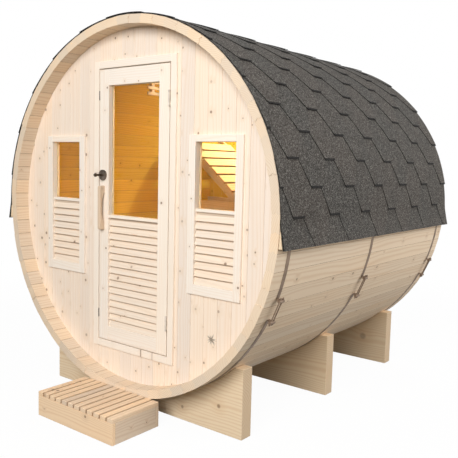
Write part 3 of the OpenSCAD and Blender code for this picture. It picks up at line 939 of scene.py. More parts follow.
class GeometryTree(Nodes):
    """A geometry node group with named inputs, and the call that applies it to a mesh."""

    def __init__(self, name: str) -> None:
        """Starts a group with a geometry input and output."""
        super().__init__(bpy.data.node_groups.new(name, "GeometryNodeTree"))
        self.sockets: dict[str, str] = {}
        self.declare("Geometry", "NodeSocketGeometry")
        self.tree.interface.new_socket("Geometry", in_out="OUTPUT", socket_type="NodeSocketGeometry")
        self.source = self.tree.nodes.new("NodeGroupInput")
        self.result = self.tree.nodes.new("NodeGroupOutput")

    def declare(self, name: str, kind: str) -> None:
        """Adds a named input to the group."""
        socket = self.tree.interface.new_socket(name, in_out="INPUT", socket_type=kind)
        self.sockets[name] = socket.identifier

    def numbers(self, *names: str) -> None:
        """Adds number inputs to the group."""
        for name in names:
            self.declare(name, "NodeSocketFloat")

    def given(self, name: str) -> NodeSocket:
        """The group's named input."""
        return self.source.outputs[name]

    def index(self) -> NodeSocket:
        """Each element's number."""
        return self.add("GeometryNodeInputIndex").outputs[0]

    def position(self) -> tuple[NodeSocket, NodeSocket, NodeSocket]:
        """Each point's X, Y and Z."""
        return self.split(self.add("GeometryNodeInputPosition").outputs[0])

    def moved(self, geometry: NodeSocket, place: NodeSocket) -> NodeSocket:
        """Moves each point to its place."""
        return self.add("GeometryNodeSetPosition", {"Geometry": geometry, "Position": place}).outputs[0]

    def store(self, geometry: NodeSocket, layer: Layer, value: Feed, domain: str) -> NodeSocket:
        """Stores a number as a named attribute.

        Args:
            geometry: What gets it.
            layer: The attribute.
            value: Its value.
            domain: Where it is kept.

        Returns:
            The geometry with the attribute.
        """
        feeds = {"Geometry": geometry, "Name": layer.value, "Value": value}
        return self.add("GeometryNodeStoreNamedAttribute", feeds, data_type="FLOAT", domain=domain).outputs[0]

    def tones(self, instances: NodeSocket) -> NodeSocket:
        """Gives each instance a random tone from the group's seed."""
        feeds = {2: 0.0, 3: 1.0, 7: self.index(), 8: self.given("Seed")}
        level = self.add("FunctionNodeRandomValue", feeds, data_type="FLOAT").outputs[1]
        return self.store(instances, Layer.TONE, level, "INSTANCE")

    def close(self, geometry: NodeSocket) -> None:
        """Ends the group: a plain mesh with its finish."""
        plain = self.add("GeometryNodeRealizeInstances", {0: geometry}).outputs[0]
        dressed = self.add("GeometryNodeSetMaterial", {0: plain, 2: self.given("Finish")}).outputs[0]
        self.feed(self.result.inputs[0], dressed)

    def apply(self, mesh: Mesh, name: str, **values: Feed) -> Object:
        """Runs the group on a mesh and keeps what it makes as a plain mesh.

        Args:
            mesh: The mesh that goes in.
            name: The new object's name.
            values: The group's inputs, named with _ for a space.

        Returns:
            The object, with no modifier left.
        """
        if Layer.TONE.value in mesh.attributes:
            mesh.attributes.remove(mesh.attributes[Layer.TONE.value])
        piece = show(mesh, name)
        modifier = piece.modifiers.new(name, "NODES")
        modifier.node_group = self.tree
        for key, value in values.items():
            modifier[self.sockets[key.replace("_", " ")]] = value
        graph = bpy.context.evaluated_depsgraph_get()
        made = bpy.data.meshes.new_from_object(piece.evaluated_get(graph), preserve_all_data_layers=True,
                                               depsgraph=graph)
        piece.modifiers.clear()
        piece.data = made
        bpy.data.meshes.remove(mesh)
        made.name = name
        # The group leaves an empty place before the finish
        while made.materials[0] is None:
            made.materials.pop(index=0)
        return piece


class RunTree(GeometryTree):
    """Copies of one piece in a row or round an axis along Y, each with its own tone and slight offset."""

    def __init__(self) -> None:
        """Builds the group."""
        super().__init__("run_of_pieces")
        for name in ("Count", "Seed"):
            self.declare(name, "NodeSocketInt")
        for name in ("Step", "Pivot", "Play"):
            self.declare(name, "NodeSocketVector")
        self.numbers("Turn")
        self.declare("Finish", "NodeSocketMaterial")
        index = self.index()
        away = self.vector("MULTIPLY", self.given("Play"), (-1.0, -1.0, -1.0))
        feeds = {0: away, 1: self.given("Play"), 7: index, 8: self.given("Seed")}
        play = self.add("FunctionNodeRandomValue", feeds, data_type="FLOAT_VECTOR").outputs[0]
        path = self.vector("MULTIPLY", self.given("Step"), self.combine(index, index, index))
        spot = self.vector("ADD", self.vector("ADD", path, self.given("Pivot")), play)
        line = self.add("GeometryNodeMeshLine", {"Count": self.given("Count")}).outputs[0]
        points = self.moved(line, spot)
        back = self.vector("MULTIPLY", self.given("Pivot"), (-1.0, -1.0, -1.0))
        piece = self.add("GeometryNodeTransform", {0: self.given("Geometry"), 1: back}).outputs[0]
        angle = self.combine(0.0, self.times(index, self.given("Turn")), 0.0)
        turn = self.add("FunctionNodeEulerToRotation", {0: angle}).outputs[0]
        feeds = {"Points": points, "Instance": piece, "Rotation": turn}
        copies = self.add("GeometryNodeInstanceOnPoints", feeds).outputs[0]
        self.close(self.tones(copies))


class ShingleTree(GeometryTree):
    """Courses of six-sided shingle tabs, laid flat in half offsets and then bent up one side of the roof.

    The free foot of each tab stands off the curve, as a stiff tab does.
    """

    COLUMNS = 6
    ROWS = 8

    def __init__(self) -> None:
        """Builds the group."""
        super().__init__("shingle_courses")
        for name in ("Tabs", "Courses", "Seed"):
            self.declare(name, "NodeSocketInt")
        self.numbers("Pitch", "Flat", "Spread", "Gap", "Slab", "Foot", "Stand", "Start",
                     "Radius", "Eave angle", "Course angle", "Flare", "Axis height")
        self.declare("Finish", "NodeSocketMaterial")
        flat = self.laid(self.slab())
        self.close(self.bent(flat))

    def outline(self) -> NodeSocket:
        """Makes one tab's flat outline: a foot that widens over one course, then a full strip."""
        feeds = {0: float(self.COLUMNS), 1: 2.0, 2: self.COLUMNS + 1, 3: self.ROWS + 1}
        sheet = self.add("GeometryNodeMeshGrid", feeds).outputs[0]
        x, y, _ = self.position()
        reach = self.math("ABSOLUTE", x)
        inner = self.COLUMNS / 2 - 1
        outside = self.times(self.math("GREATER_THAN", reach, inner), self.math("LESS_THAN", y, 0.0))
        sheet = self.add("GeometryNodeDeleteGeometry", {0: sheet, 1: outside}, domain="FACE").outputs[0]
        rise = self.math("ADD", y, 1.0)
        foot = self.times(self.given("Flat"), 0.5)
        half = self.scaled(self.given("Spread"), self.math("MINIMUM", rise, 1.0), foot)
        core = self.times(half, self.math("DIVIDE", self.math("MINIMUM", reach, inner), inner))
        taken = self.math("ADD", self.given("Flat"), self.given("Gap"))
        room = self.math("SUBTRACT", self.given("Pitch"), taken)
        wing = self.math("SUBTRACT", self.times(room, 0.5), self.given("Spread"))
        beyond = self.math("MAXIMUM", self.math("SUBTRACT", reach, inner), 0.0)
        side = self.times(self.math("SIGN", x), self.scaled(wing, beyond, core))
        return self.moved(sheet, self.combine(side, rise, 0.0))

    def slab(self) -> NodeSocket:
        """Gives the outline its thickness, marks its cut edges and keeps how far up each point lies."""
        sheet = self.outline()
        _, rise, _ = self.position()
        sheet = self.store(sheet, Layer.RISE, rise, "POINT")
        feeds = {"Mesh": sheet, "Offset Scale": self.given("Slab"), "Individual": False}
        raised = self.add("GeometryNodeExtrudeMesh", feeds)
        top = self.store(raised.outputs["Mesh"], Layer.EDGE, raised.outputs["Side"], "FACE")
        under = self.add("GeometryNodeFlipFaces", {0: sheet}).outputs[0]
        both = self.add("GeometryNodeJoinGeometry")
        self.feed(both.inputs[0], under)
        self.feed(both.inputs[0], top)
        return self.add("GeometryNodeMergeByDistance", {0: both.outputs[0], "Distance": MERGE}).outputs[0]

    def laid(self, tab: NodeSocket) -> NodeSocket:
        """Lays the tabs out flat, X along the eave and Y in courses.

        Args:
            tab: One tab.

        Returns:
            The realized tabs.
        """
        index = self.index()
        row = self.math("FLOOR", self.math("DIVIDE", index, self.given("Tabs")))
        column = self.math("SUBTRACT", index, self.times(row, self.given("Tabs")))
        stagger = self.times(self.math("MODULO", row, 2.0), 0.5)
        along = self.scaled(self.math("ADD", column, stagger), self.given("Pitch"), self.given("Start"))
        count = self.times(self.given("Tabs"), self.given("Courses"))
        line = self.add("GeometryNodeMeshLine", {"Count": count}).outputs[0]
        points = self.moved(line, self.combine(along, row, 0.0))
        copies = self.add("GeometryNodeInstanceOnPoints", {"Points": points, "Instance": tab}).outputs[0]
        return self.add("GeometryNodeRealizeInstances", {0: self.tones(copies)}).outputs[0]

    def bent(self, flat: NodeSocket) -> NodeSocket:
        """Bends the flat courses round the barrel, and straight down below its middle.

        Args:
            flat: The courses laid flat.

        Returns:
            The courses in their place on the right side.
        """
        along, course, height = self.position()
        angle = self.scaled(course, self.given("Course angle"), self.given("Eave angle"))
        kept = self.add("GeometryNodeInputNamedAttribute", {"Name": Layer.RISE.value}, data_type="FLOAT")
        rise = kept.outputs[0]
        low = self.math("SUBTRACT", self.given("Foot"), self.given("Slab"))
        lift = self.math("SUBTRACT", low, self.times(self.given("Slab"), rise))
        free = self.math("POWER", self.math("MAXIMUM", self.math("SUBTRACT", 1.0, rise), 0.0), 2.0)
        lift = self.scaled(free, self.given("Stand"), lift)
        radius = self.math("ADD", self.given("Radius"), self.math("ADD", lift, height))
        curve = self.math("MAXIMUM", angle, 0.0)
        drop = self.times(self.math("MINIMUM", angle, 0.0), self.given("Radius"))
        out = self.times(radius, self.math("COSINE", curve))
        out = self.math("SUBTRACT", out, self.times(self.given("Flare"), drop))
        up = self.scaled(radius, self.math("SINE", curve), drop)
        return self.moved(flat, self.combine(out, along, self.math("ADD", up, self.given("Axis height"))))


class NutTree(GeometryTree):
    """Hexagon nuts on points, each turned along the points' axis."""

    def __init__(self) -> None:
        """Builds the group."""
        super().__init__("nuts_on_rods")
        self.numbers("Across", "Depth")
        self.declare("Axis", "NodeSocketVector")
        self.declare("Finish", "NodeSocketMaterial")
        radius = self.math("DIVIDE", self.given("Across"), math.sqrt(3.0))
        feeds = {"Vertices": 6, "Radius": radius, "Depth": self.given("Depth")}
        nut = self.add("GeometryNodeMeshCylinder", feeds).outputs[0]
        feeds = {"Vector": self.given("Axis")}
        turn = self.add("FunctionNodeAlignRotationToVector", feeds, axis="Z").outputs[0]
        feeds = {"Points": self.given("Geometry"), "Instance": nut, "Rotation": turn}
        self.close(self.add("GeometryNodeInstanceOnPoints", feeds).outputs[0])


class Trees:
    """The geometry node groups, each built once."""

    def __init__(self) -> None:
        """Builds every group."""
        self.run = RunTree()
        self.shingles = ShingleTree()
        self.nuts = NutTree()


@dataclass
class Workshop:
    """What every sub-assembly works with."""

    frame: dict
    finishes: Finishes
    trees: Trees

    def timbers(self, name: str, nodes: Sequence[str], body: Body, finish: Material, seed: int,
                width: float = 0.0016, end_share: float = 0.0) -> None:
        """Makes an eased copy of timber nodes, with grain along each solid, to stand for them.

        Args:
            name: The new piece's name.
            nodes: The nodes it stands for.
            body: The body it moves with.
            finish: Its material.
            seed: Fixes the tones.
            width: How far each arris is rounded.
            end_share: How dark the end grain is.
        """
        solid = solids_of(self.frame, nodes)
        ease(solid, width)
        solid.normal_update()
        lay_grain(solid, seed, end_share)
        hand_over(piece_of(solid, name, finish), body, nodes)

    def slat_run(self, name: str, node: str, body: Body, finish: Material, seed: int,
                 order: Callable[[Vector], float], width: float = 0.0012, abreast: int = 1,
                 shaded: float = 0.0, seam_and_shade: float = 0.0) -> None:
        """Makes a node's row of equal slats from its first one, or its first ones side by side.

        Args:
            name: The new piece's name.
            node: The node it stands for.
            body: The body it moves with.
            finish: Its material.
            seed: Fixes the tones.
            order: Gives the number that grows along the row.
            width: How far each arris is rounded.
            abreast: Slats side by side at each step.
            shaded: How far the shade of the slat above reaches down a leaning slat.
            seam_and_shade: How dark the painted shade in the joints between the slats is.
        """
        solid = solids_of(self.frame, [node])
        groups = sorted(islands(solid), key=lambda group: order(centre_of(group)))
        count = len(groups) // abreast
        first = sum((centre_of(group) for group in groups[:abreast]), Vector())
        last = sum((centre_of(group) for group in groups[-abreast:]), Vector())
        step = (last - first) / (abreast * (count - 1))
        spare = [corner for group in groups[abreast:] for corner in group]
        bmesh.ops.delete(solid, geom=spare, context="VERTS")
        ease(solid, width)
        if shaded:
            shade_laps(solid, shaded)
        lay_grain(solid, seed)
        mesh = mesh_of(solid, name)
        piece = self.trees.run.apply(mesh, name, Count=count, Step=step, Seed=seed, Finish=finish)
        # Painted shade on the slats' faces in the gaps between them
        if seam_and_shade:
            shade_joints(piece.data, step, seam_and_shade)
        hand_over(piece, body, [node])


@dataclass(frozen=True)
class Opening:
    """A rectangle left open in a board wall."""

    x0: float
    x1: float
    z0: float
    z1: float


@dataclass
class BoardWall:
    """A round end wall of upright boards with V joints between them."""

    name: str
    nodes: tuple[str, ...]
    face_y: float
    back_y: float
    openings: tuple[Opening, ...] = ()
    radius: float = 0.9655
    axis_z: float = AXIS_Z
    first_joint: float = -0.016
    pitch: float = 0.087
    joint: float = 0.0008
    chamfer: float = 0.0018
    seam_and_shade: float = 0.14
    sliver: float = 0.008
    arc_steps: int = 6
    rim: float = 0.004
    seed: int = 11

    def build(self, shop: Workshop) -> None:
        """Builds the wall's boards and hands them over.

        Args:
            shop: The frame and finishes.
        """
        wall = new_solid()
        grain = wall.verts.layers.float_vector[Layer.GRAIN.value]
        tone = wall.verts.layers.float[Layer.TONE.value]
        tones = random.Random(self.seed)
        for left, right in self.strips():
            level = tones.random()
            middle = Vector(((left + right) / 2, self.face_y, self.axis_z))
            for outline in self.outlines(left, right):
                before = len(wall.verts)
                take_in(wall, self.board(outline, left, right))
                wall.verts.ensure_lookup_table()
                for corner in wall.verts[before:]:
                    place = corner.co - middle
                    corner[grain] = (place.z, place.x, place.y)
                    corner[tone] = level
        piece = piece_of(wall, self.name, shop.finishes.boards)
        hand_over(piece, Body.CABIN, self.nodes)

    def strips(self) -> list[Point]:
        """Lists each board's left and right side."""
        low = math.ceil((-self.radius - self.first_joint) / self.pitch)
        high = math.floor((self.radius - self.first_joint) / self.pitch)
        joints = [self.first_joint + self.pitch * i for i in range(low, high + 1)]
        edges = [-self.radius + self.rim - self.joint / 2, *joints, self.radius - self.rim + self.joint / 2]
        pairs = [(a + self.joint / 2, b - self.joint / 2) for a, b in zip(edges, edges[1:])]
        return [(a, b) for a, b in pairs if b - a > self.rim]

    def arc(self, start: float, end: float, side: float) -> list[Point]:
        """Points on the wall's rim.

        Args:
            start: X of the first point.
            end: X of the last point.
            side: 1 for the upper rim, -1 for the lower.

        Returns:
            The points in X and Z.
        """
        places = [start + (end - start) * i / self.arc_steps for i in range(self.arc_steps + 1)]
        return [(x, self.axis_z + side * math.sqrt(self.radius ** 2 - x * x)) for x in places]

    def outlines(self, left: float, right: float) -> list[list[Point]]:
        """The outlines of one board, seen from the front and anticlockwise, with its notches.

        Args:
            left: The board's left side.
            right: The board's right side.

        Returns:
            One outline, or two where an opening parts the board.
        """
        through = [o for o in self.openings if o.x0 <= left + self.sliver and o.x1 >= right - self.sliver]
        below, above = self.arc(left, right, -1.0), self.arc(right, left, 1.0)
        if through:
            gap = through[0]
            return [below + [(right, gap.z0), (left, gap.z0)], [(left, gap.z1), (right, gap.z1)] + above]
        up: list[Point] = []
        down: list[Point] = []
        for gap in self.openings:
            if left < gap.x0 < right:
                up += [(right, gap.z0), (gap.x0, gap.z0), (gap.x0, gap.z1), (right, gap.z1)]
            if left < gap.x1 < right:
                down += [(left, gap.z1), (gap.x1, gap.z1), (gap.x1, gap.z0), (left, gap.z0)]
        return [below + up + above + down]

    def board(self, outline: Sequence[Point], left: float, right: float) -> BMesh:
        """Makes one board as a solid with its long outer arrises chamfered.

        Args:
            outline: Its outline in X and Z.
            left: The board's left side.
            right: The board's right side.

        Returns:
            The board.
        """
        board = prism(outline, self.face_y, self.back_y)
        sides = (left, right)
        long = [e for e in board.edges if all(abs(v.co.y - self.face_y) < MERGE for v in e.verts)
                and any(all(abs(v.co.x - side) < MERGE for v in e.verts) for side in sides)]
        round_off(board, long, self.chamfer, 1, self.seam_and_shade)
        return board


@dataclass
class Barrel:
    """The ring of staves and the two end walls."""

    axis_z: float = AXIS_Z
    stave_count: int = 72
    pattern_node: str = "staves_right"
    nodes: tuple[str, ...] = ("staves_right", "staves_upper_right", "staves_top", "staves_upper_left",
                              "staves_left", "staves_lower_left", "staves_bottom", "staves_lower_right")
    arris: float = 0.0030
    shortest_seam: float = 0.03
    seam_angle: float = math.radians(60)
    # How dark the rounded stave joints are: the joints' own darkness, with painted shade in their shallow
    # grooves
    seam_and_shade: float = 0.80
    end_play: float = 0.0018
    seed: int = 5
    front: BoardWall = field(default_factory=lambda: BoardWall(
        "front_wall_boards", ("front_wall_left", "front_wall_right", "front_wall_head", "front_wall_sill"),
        -0.924, -0.882,
        (Opening(-0.3106, 0.3086, 0.3054, 1.8986), Opening(0.4236, 0.7104, 0.7376, 1.4804),
         Opening(-0.7104, -0.4236, 0.7376, 1.4804))))
    back: BoardWall = field(default_factory=lambda: BoardWall(
        "back_wall_boards", ("back_wall",), 0.900, 0.858, first_joint=-0.0435, seed=12))

    def build(self, shop: Workshop) -> None:
        """Builds the ring and both walls.

        Args:
            shop: The frame, finishes and trees.
        """
        self.build_ring(shop)
        self.front.build(shop)
        self.back.build(shop)

    def build_ring(self, shop: Workshop) -> None:
        """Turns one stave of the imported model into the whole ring.

        Args:
            shop: The frame, finishes and trees.
        """
        solid = solids_of(shop.frame, [self.pattern_node])
        groups = sorted(islands(solid), key=lambda group: abs(centre_of(group).z - self.axis_z))
        bmesh.ops.delete(solid, geom=[v for group in groups[1:] for v in group], context="VERTS")
        seams = [e for e in solid.edges if e.is_manifold and e.calc_face_angle() > self.seam_angle
                 and abs(e.verts[0].co.y - e.verts[1].co.y) > self.shortest_seam]
        round_off(solid, seams, self.arris, 1, self.seam_and_shade)
        lay_grain(solid, self.seed)
        mesh = mesh_of(solid, "stave_ring")
        ring = shop.trees.run.apply(mesh, "stave_ring", Count=self.stave_count, Seed=self.seed,
                                    Turn=math.tau / self.stave_count, Pivot=(0.0, 0.0, self.axis_z),
                                    Play=(0.0, self.end_play, 0.0), Finish=shop.finishes.staves)
        hand_over(ring, Body.CABIN, self.nodes)


@dataclass
class Doorway:
    """The door frame, the leaf with its louvre, and the furniture on it."""

    keeper_x: float = -0.272
    keeper_t: float = 0.0018
    keeper_y: Point = (-0.9345, -0.912)
    keeper_heights: tuple[Point, ...] = ((0.470, 0.520), (1.690, 1.740))
    handle_arris: float = 0.004
    louvre_shade: float = 0.0130
    seed: int = 21

    def build(self, shop: Workshop) -> None:
        """Builds the frame, leaf and furniture.

        Args:
            shop: The frame, finishes and trees.
        """
        wood = shop.finishes.joinery
        frame_nodes = ("door_jambs", "door_lintel", "door_threshold", "door_stops")
        shop.timbers("door_frame_timbers", frame_nodes, Body.CABIN, wood, self.seed)
        shop.timbers("door_leaf_timbers", ("door_stiles", "door_rails"), Body.DOOR, wood,
                     self.seed + 1)
        shop.slat_run("door_louvre_slats", "door_louvre", Body.DOOR, shop.finishes.louvre,
                      self.seed + 2, lambda place: place.z, shaded=self.louvre_shade)
        shop.timbers("door_bow_handle", ("door_handle",), Body.DOOR, shop.finishes.handle,
                     self.seed + 3, self.handle_arris)
        self.build_keepers(shop)
        for node in ("latch_rosette", "latch_knob"):
            dress_node(shop.frame, node, shop.finishes.metal)
        for node in ("hinge_frame_leaves", "hinge_door_leaves"):
            dress_node(shop.frame, node, shop.finishes.hinge)
        dress_node(shop.frame, "door_glass", shop.finishes.glass)

    def build_keepers(self, shop: Workshop) -> None:
        """Makes the two dark plates that the leaf's catches meet on the free jamb.

        Args:
            shop: The finishes.
        """
        plates = new_solid()
        low_y, high_y = self.keeper_y
        for low, high in self.keeper_heights:
            size = Vector((self.keeper_t, high_y - low_y, high - low))
            middle = Vector((self.keeper_x + self.keeper_t / 2, (low_y + high_y) / 2, (low + high) / 2))
            place = Matrix.Translation(middle) @ Matrix.Diagonal((*size, 1.0))
            bmesh.ops.create_cube(plates, size=1.0, matrix=place)
        ease(plates, self.keeper_t / 4)
        hand_over(piece_of(plates, "catch_keepers", shop.finishes.keeper), Body.CABIN)


@dataclass
class Windows:
    """The two fixed windows."""

    louvre_shade: float = 0.0130
    seed: int = 31

    def build(self, shop: Workshop) -> None:
        """Builds the casings, linings and louvres and dresses the panes.

        Args:
            shop: The frame, finishes and trees.
        """
        shop.timbers("window_trim_timbers", ("window_casings", "window_linings"), Body.CABIN,
                     shop.finishes.joinery, self.seed)
        shop.slat_run("window_louvre_slats", "window_louvres", Body.CABIN, shop.finishes.louvre,
                      self.seed + 1, lambda place: place.z, abreast=2, shaded=self.louvre_shade)
        dress_node(shop.frame, "window_glass", shop.finishes.glass)


@dataclass
class Roof:
    """Six-sided shingles over the upper half, a starter strip at each eave and caps along the ridge."""

    axis_z: float = AXIS_Z
    ends: Point = (-1.014, 0.990)
    radius: float = 1.0016
    foot: float = 0.0075
    stand: float = 0.0022
    slab: float = 0.0026
    course_angle: float = math.radians(7.65)
    courses: int = 12
    eave_drop: float = 0.114
    eave_x: float = 1.031
    pitch: float = 0.333
    flat: float = 0.092
    gap: float = 0.002
    first_tab: float = -1.372
    tabs: int = 8
    starter_tone: float = 0.4
    cap_half_angle: float = math.radians(7.5)
    cap_length: float = 0.30
    cap_exposure: float = 0.145
    cap_slab: float = 0.0018
    cap_clearance: float = 0.0002
    arc_steps: int = 8
    seed: int = 41

    @property
    def eave_angle(self) -> float:
        """Where the courses start, below the barrel's middle."""
        return -self.eave_drop / self.radius

    @property
    def flare(self) -> float:
        """How far the eave leans out for each metre of drop."""
        return (self.eave_x - self.foot - self.stand - self.radius) / self.eave_drop

    def build(self, shop: Workshop) -> None:
        """Builds the covering, the ridge caps and the eave battens.

        Args:
            shop: The frame, finishes and trees.
        """
        covering = new_solid()
        self.add_courses(shop, covering)
        self.add_starter(covering)
        self.trim(covering)
        half = covering.copy()
        middle = Matrix.Translation((0, sum(self.ends) / 2, 0))
        turn = middle @ Matrix.Rotation(math.pi, 4, "Z") @ middle.inverted()
        bmesh.ops.transform(half, matrix=turn, verts=half.verts)
        take_in(covering, half)
        roof = piece_of(covering, "shingle_courses", shop.finishes.shingle)
        hand_over(roof, Body.CABIN, ["roof_covering"])
        self.build_caps(shop)
        shop.timbers("eave_batten_timbers", ("eave_battens",), Body.CABIN, shop.finishes.cradle,
                     self.seed + 2)

    def add_courses(self, shop: Workshop, covering: BMesh) -> None:
        """Adds the right side's tabs.

        Args:
            shop: The finishes and trees.
            covering: What they go into.
        """
        tabs = shop.trees.shingles.apply(
            bpy.data.meshes.new("shingle_seed"), "shingle_tabs", Tabs=self.tabs, Courses=self.courses,
            Seed=self.seed, Pitch=self.pitch, Flat=self.flat, Spread=self.pitch / 2 - self.flat, Gap=self.gap,
            Slab=self.slab, Foot=self.foot, Stand=self.stand, Start=self.first_tab,
            Radius=self.radius, Eave_angle=self.eave_angle, Course_angle=self.course_angle, Flare=self.flare,
            Axis_height=self.axis_z, Finish=shop.finishes.shingle)
        covering.from_mesh(tabs.data)
        rise = covering.verts.layers.float[Layer.RISE.value]
        for corner in covering.verts:
            if corner.co.z < self.axis_z - self.eave_drop + self.foot:
                corner[rise] = 1.0
        mesh = tabs.data
        bpy.data.objects.remove(tabs)
        bpy.data.meshes.remove(mesh)

    def section_point(self, angle: float, lift: float) -> Point:
        """A point of the covering's section.

        Args:
            angle: Angle round the barrel, below 0 under its middle.
            lift: Height over the staves' wrapping.

        Returns:
            The point in X and Z.
        """
        radius = self.radius + lift
        drop = min(angle, 0.0) * self.radius
        curve = max(angle, 0.0)
        return radius * math.cos(curve) - self.flare * drop, radius * math.sin(curve) + drop + self.axis_z

    def add_starter(self, covering: BMesh) -> None:
        """Adds the straight strip under the first course.

        Args:
            covering: What it goes into.
        """
        shares = [i / self.arc_steps for i in range(self.arc_steps + 1)]
        angles = [self.eave_angle + share * self.course_angle for share in shares]
        lifts = [self.foot - self.slab * (1 + share) + self.stand * (1 - share) ** 2 for share in shares]
        top = [self.section_point(angle, lift) for angle, lift in zip(angles, lifts)]
        under = [self.section_point(angle, 0.0) for angle in angles]
        strip = prism(top + under[::-1], *self.ends)
        self.mark_cuts(strip, -FACING)
        rise = strip.verts.layers.float.new(Layer.RISE.value)
        tone = strip.verts.layers.float[Layer.TONE.value]
        for corner in strip.verts:
            corner[tone] = self.starter_tone
            corner[rise] = 1.0
        take_in(covering, strip)

    @staticmethod
    def mark_cuts(strip: BMesh, dip: float) -> None:
        """Marks the ends and the underside of a strip as cut.

        Args:
            strip: A solid along Y.
            dip: Faces whose normal's Z is under this are the underside.
        """
        mark = strip.faces.layers.float[Layer.EDGE.value]
        for face in strip.faces:
            face[mark] = float(abs(face.normal.y) > FACING or face.normal.z < dip)

    def trim(self, covering: BMesh) -> None:
        """Cuts the tabs flush at both ends and at the ridge, and closes the cuts.

        Args:
            covering: The right side.
        """
        front, rear = self.ends
        cuts = [((0, front, 0), (0, -1, 0)), ((0, rear, 0), (0, 1, 0)), ((0, 0, 0), (-1, 0, 0))]
        for spot, outward in cuts:
            saw(covering, spot, outward, 1.0)
        bmesh.ops.recalc_face_normals(covering, faces=covering.faces)

    def build_caps(self, shop: Workshop) -> None:
        """Builds the caps that lap along the ridge.

        Args:
            shop: The finishes and trees.
        """
        lift = self.foot + self.cap_clearance
        shares = [1 - 2 * i / self.arc_steps for i in range(self.arc_steps + 1)]
        angles = [math.pi / 2 + self.cap_half_angle * share for share in shares]
        top = [self.section_point(angle, lift) for angle in angles]
        under = [self.section_point(angle, lift - self.cap_slab) for angle in angles]
        front, rear = self.ends
        cap = prism(under + top[::-1], front, front + self.cap_length)
        self.mark_cuts(cap, 0.0)
        rise = cap.verts.layers.float.new(Layer.RISE.value)
        for corner in cap.verts:
            along = corner.co.y - front
            corner[rise] = 1.0 - along / self.cap_length
            corner.co.z += self.cap_slab * along / self.cap_exposure
        count = math.ceil((rear - front) / self.cap_exposure)
        piece = shop.trees.run.apply(mesh_of(cap, "ridge_cap"), "ridge_caps", Count=count, Seed=self.seed + 1,
                                     Step=(0.0, self.cap_exposure, 0.0), Finish=shop.finishes.shingle)
        caps = new_solid()
        caps.from_mesh(piece.data)
        saw(caps, (0, rear, 0), (0, 1, 0), 1.0)
        bmesh.ops.recalc_face_normals(caps, faces=caps.faces)
        caps.to_mesh(piece.data)
        caps.free()
        hand_over(piece, Body.CABIN)


@dataclass
class Hoops:
    """Steel hoops with nuts on their tension rods."""

    nodes: tuple[str, ...] = ("hoop_front", "hoop_middle", "hoop_rear")
    places: tuple[float, ...] = (-0.917, -0.070, 0.893)
    axis_z: float = AXIS_Z
    barrel_r: float = 1.0
    lug_stand: float = 0.022
    middle_angle: float = math.radians(-23.75)
    half_angle: float = math.radians(3.25)
    rod_spread: float = 0.020
    lug_bar_d: float = 0.016
    nut_across: float = 0.010
    nut_depth: float = 0.005

    def build(self, shop: Workshop) -> None:
        """Dresses the hoops and adds the nuts.

        Args:
            shop: The frame, finishes and trees.
        """
        for node in self.nodes:
            dress_node(shop.frame, node, shop.finishes.hoop)
        lug_r = self.barrel_r + self.lug_stand
        radius = lug_r * math.cos(self.half_angle)
        reach = lug_r * math.sin(self.half_angle) + (self.lug_bar_d + self.nut_depth) / 2
        out = Vector((math.cos(self.middle_angle), 0, math.sin(self.middle_angle)))
        along = Vector((-math.sin(self.middle_angle), 0, math.cos(self.middle_angle)))
        spots = [Vector((0, y + side * self.rod_spread / 2, self.axis_z)) + out * radius + along * end * reach
                 for y in self.places
                 for side in (-1, 1)
                 for end in (-1, 1)]
        points = bpy.data.meshes.new("rod_ends")
        points.from_pydata(spots, [], [])
        nuts = shop.trees.nuts.apply(points, "hoop_nuts", Across=self.nut_across, Depth=self.nut_depth,
                                     Axis=along, Finish=shop.finishes.hoop)
        hand_over(nuts, Body.CABIN)


@dataclass
class Groundwork:
    """The three cradles and the step."""

    cradles: tuple[str, ...] = ("cradle_front", "cradle_middle", "cradle_rear")
    cradle_arris: float = 0.003
    end_share: float = 0.35
    slat_arris: float = 0.0025
    # How dark the painted shade in the gaps between the step's slats is
    slat_gap_shade: float = 0.5
    seed: int = 51

    def build(self, shop: Workshop) -> None:
        """Builds the cradles and the step.

        Args:
            shop: The frame, finishes and trees.
        """
        shop.timbers("cradle_timbers", self.cradles, Body.CABIN, shop.finishes.cradle,
                     self.seed, self.cradle_arris, self.end_share)
        wood = shop.finishes.step
        # The seed offset is chosen so the front board gets a light tone and the right side board a dark one:
        # painted light and shade
        shop.timbers("step_box_timbers", ("step_frame",), Body.CABIN, wood, self.seed + 8)
        shop.slat_run("step_slat_run", "step_slats", Body.CABIN, wood, self.seed + 2,
                      lambda place: place.x, self.slat_arris, seam_and_shade=self.slat_gap_shade)


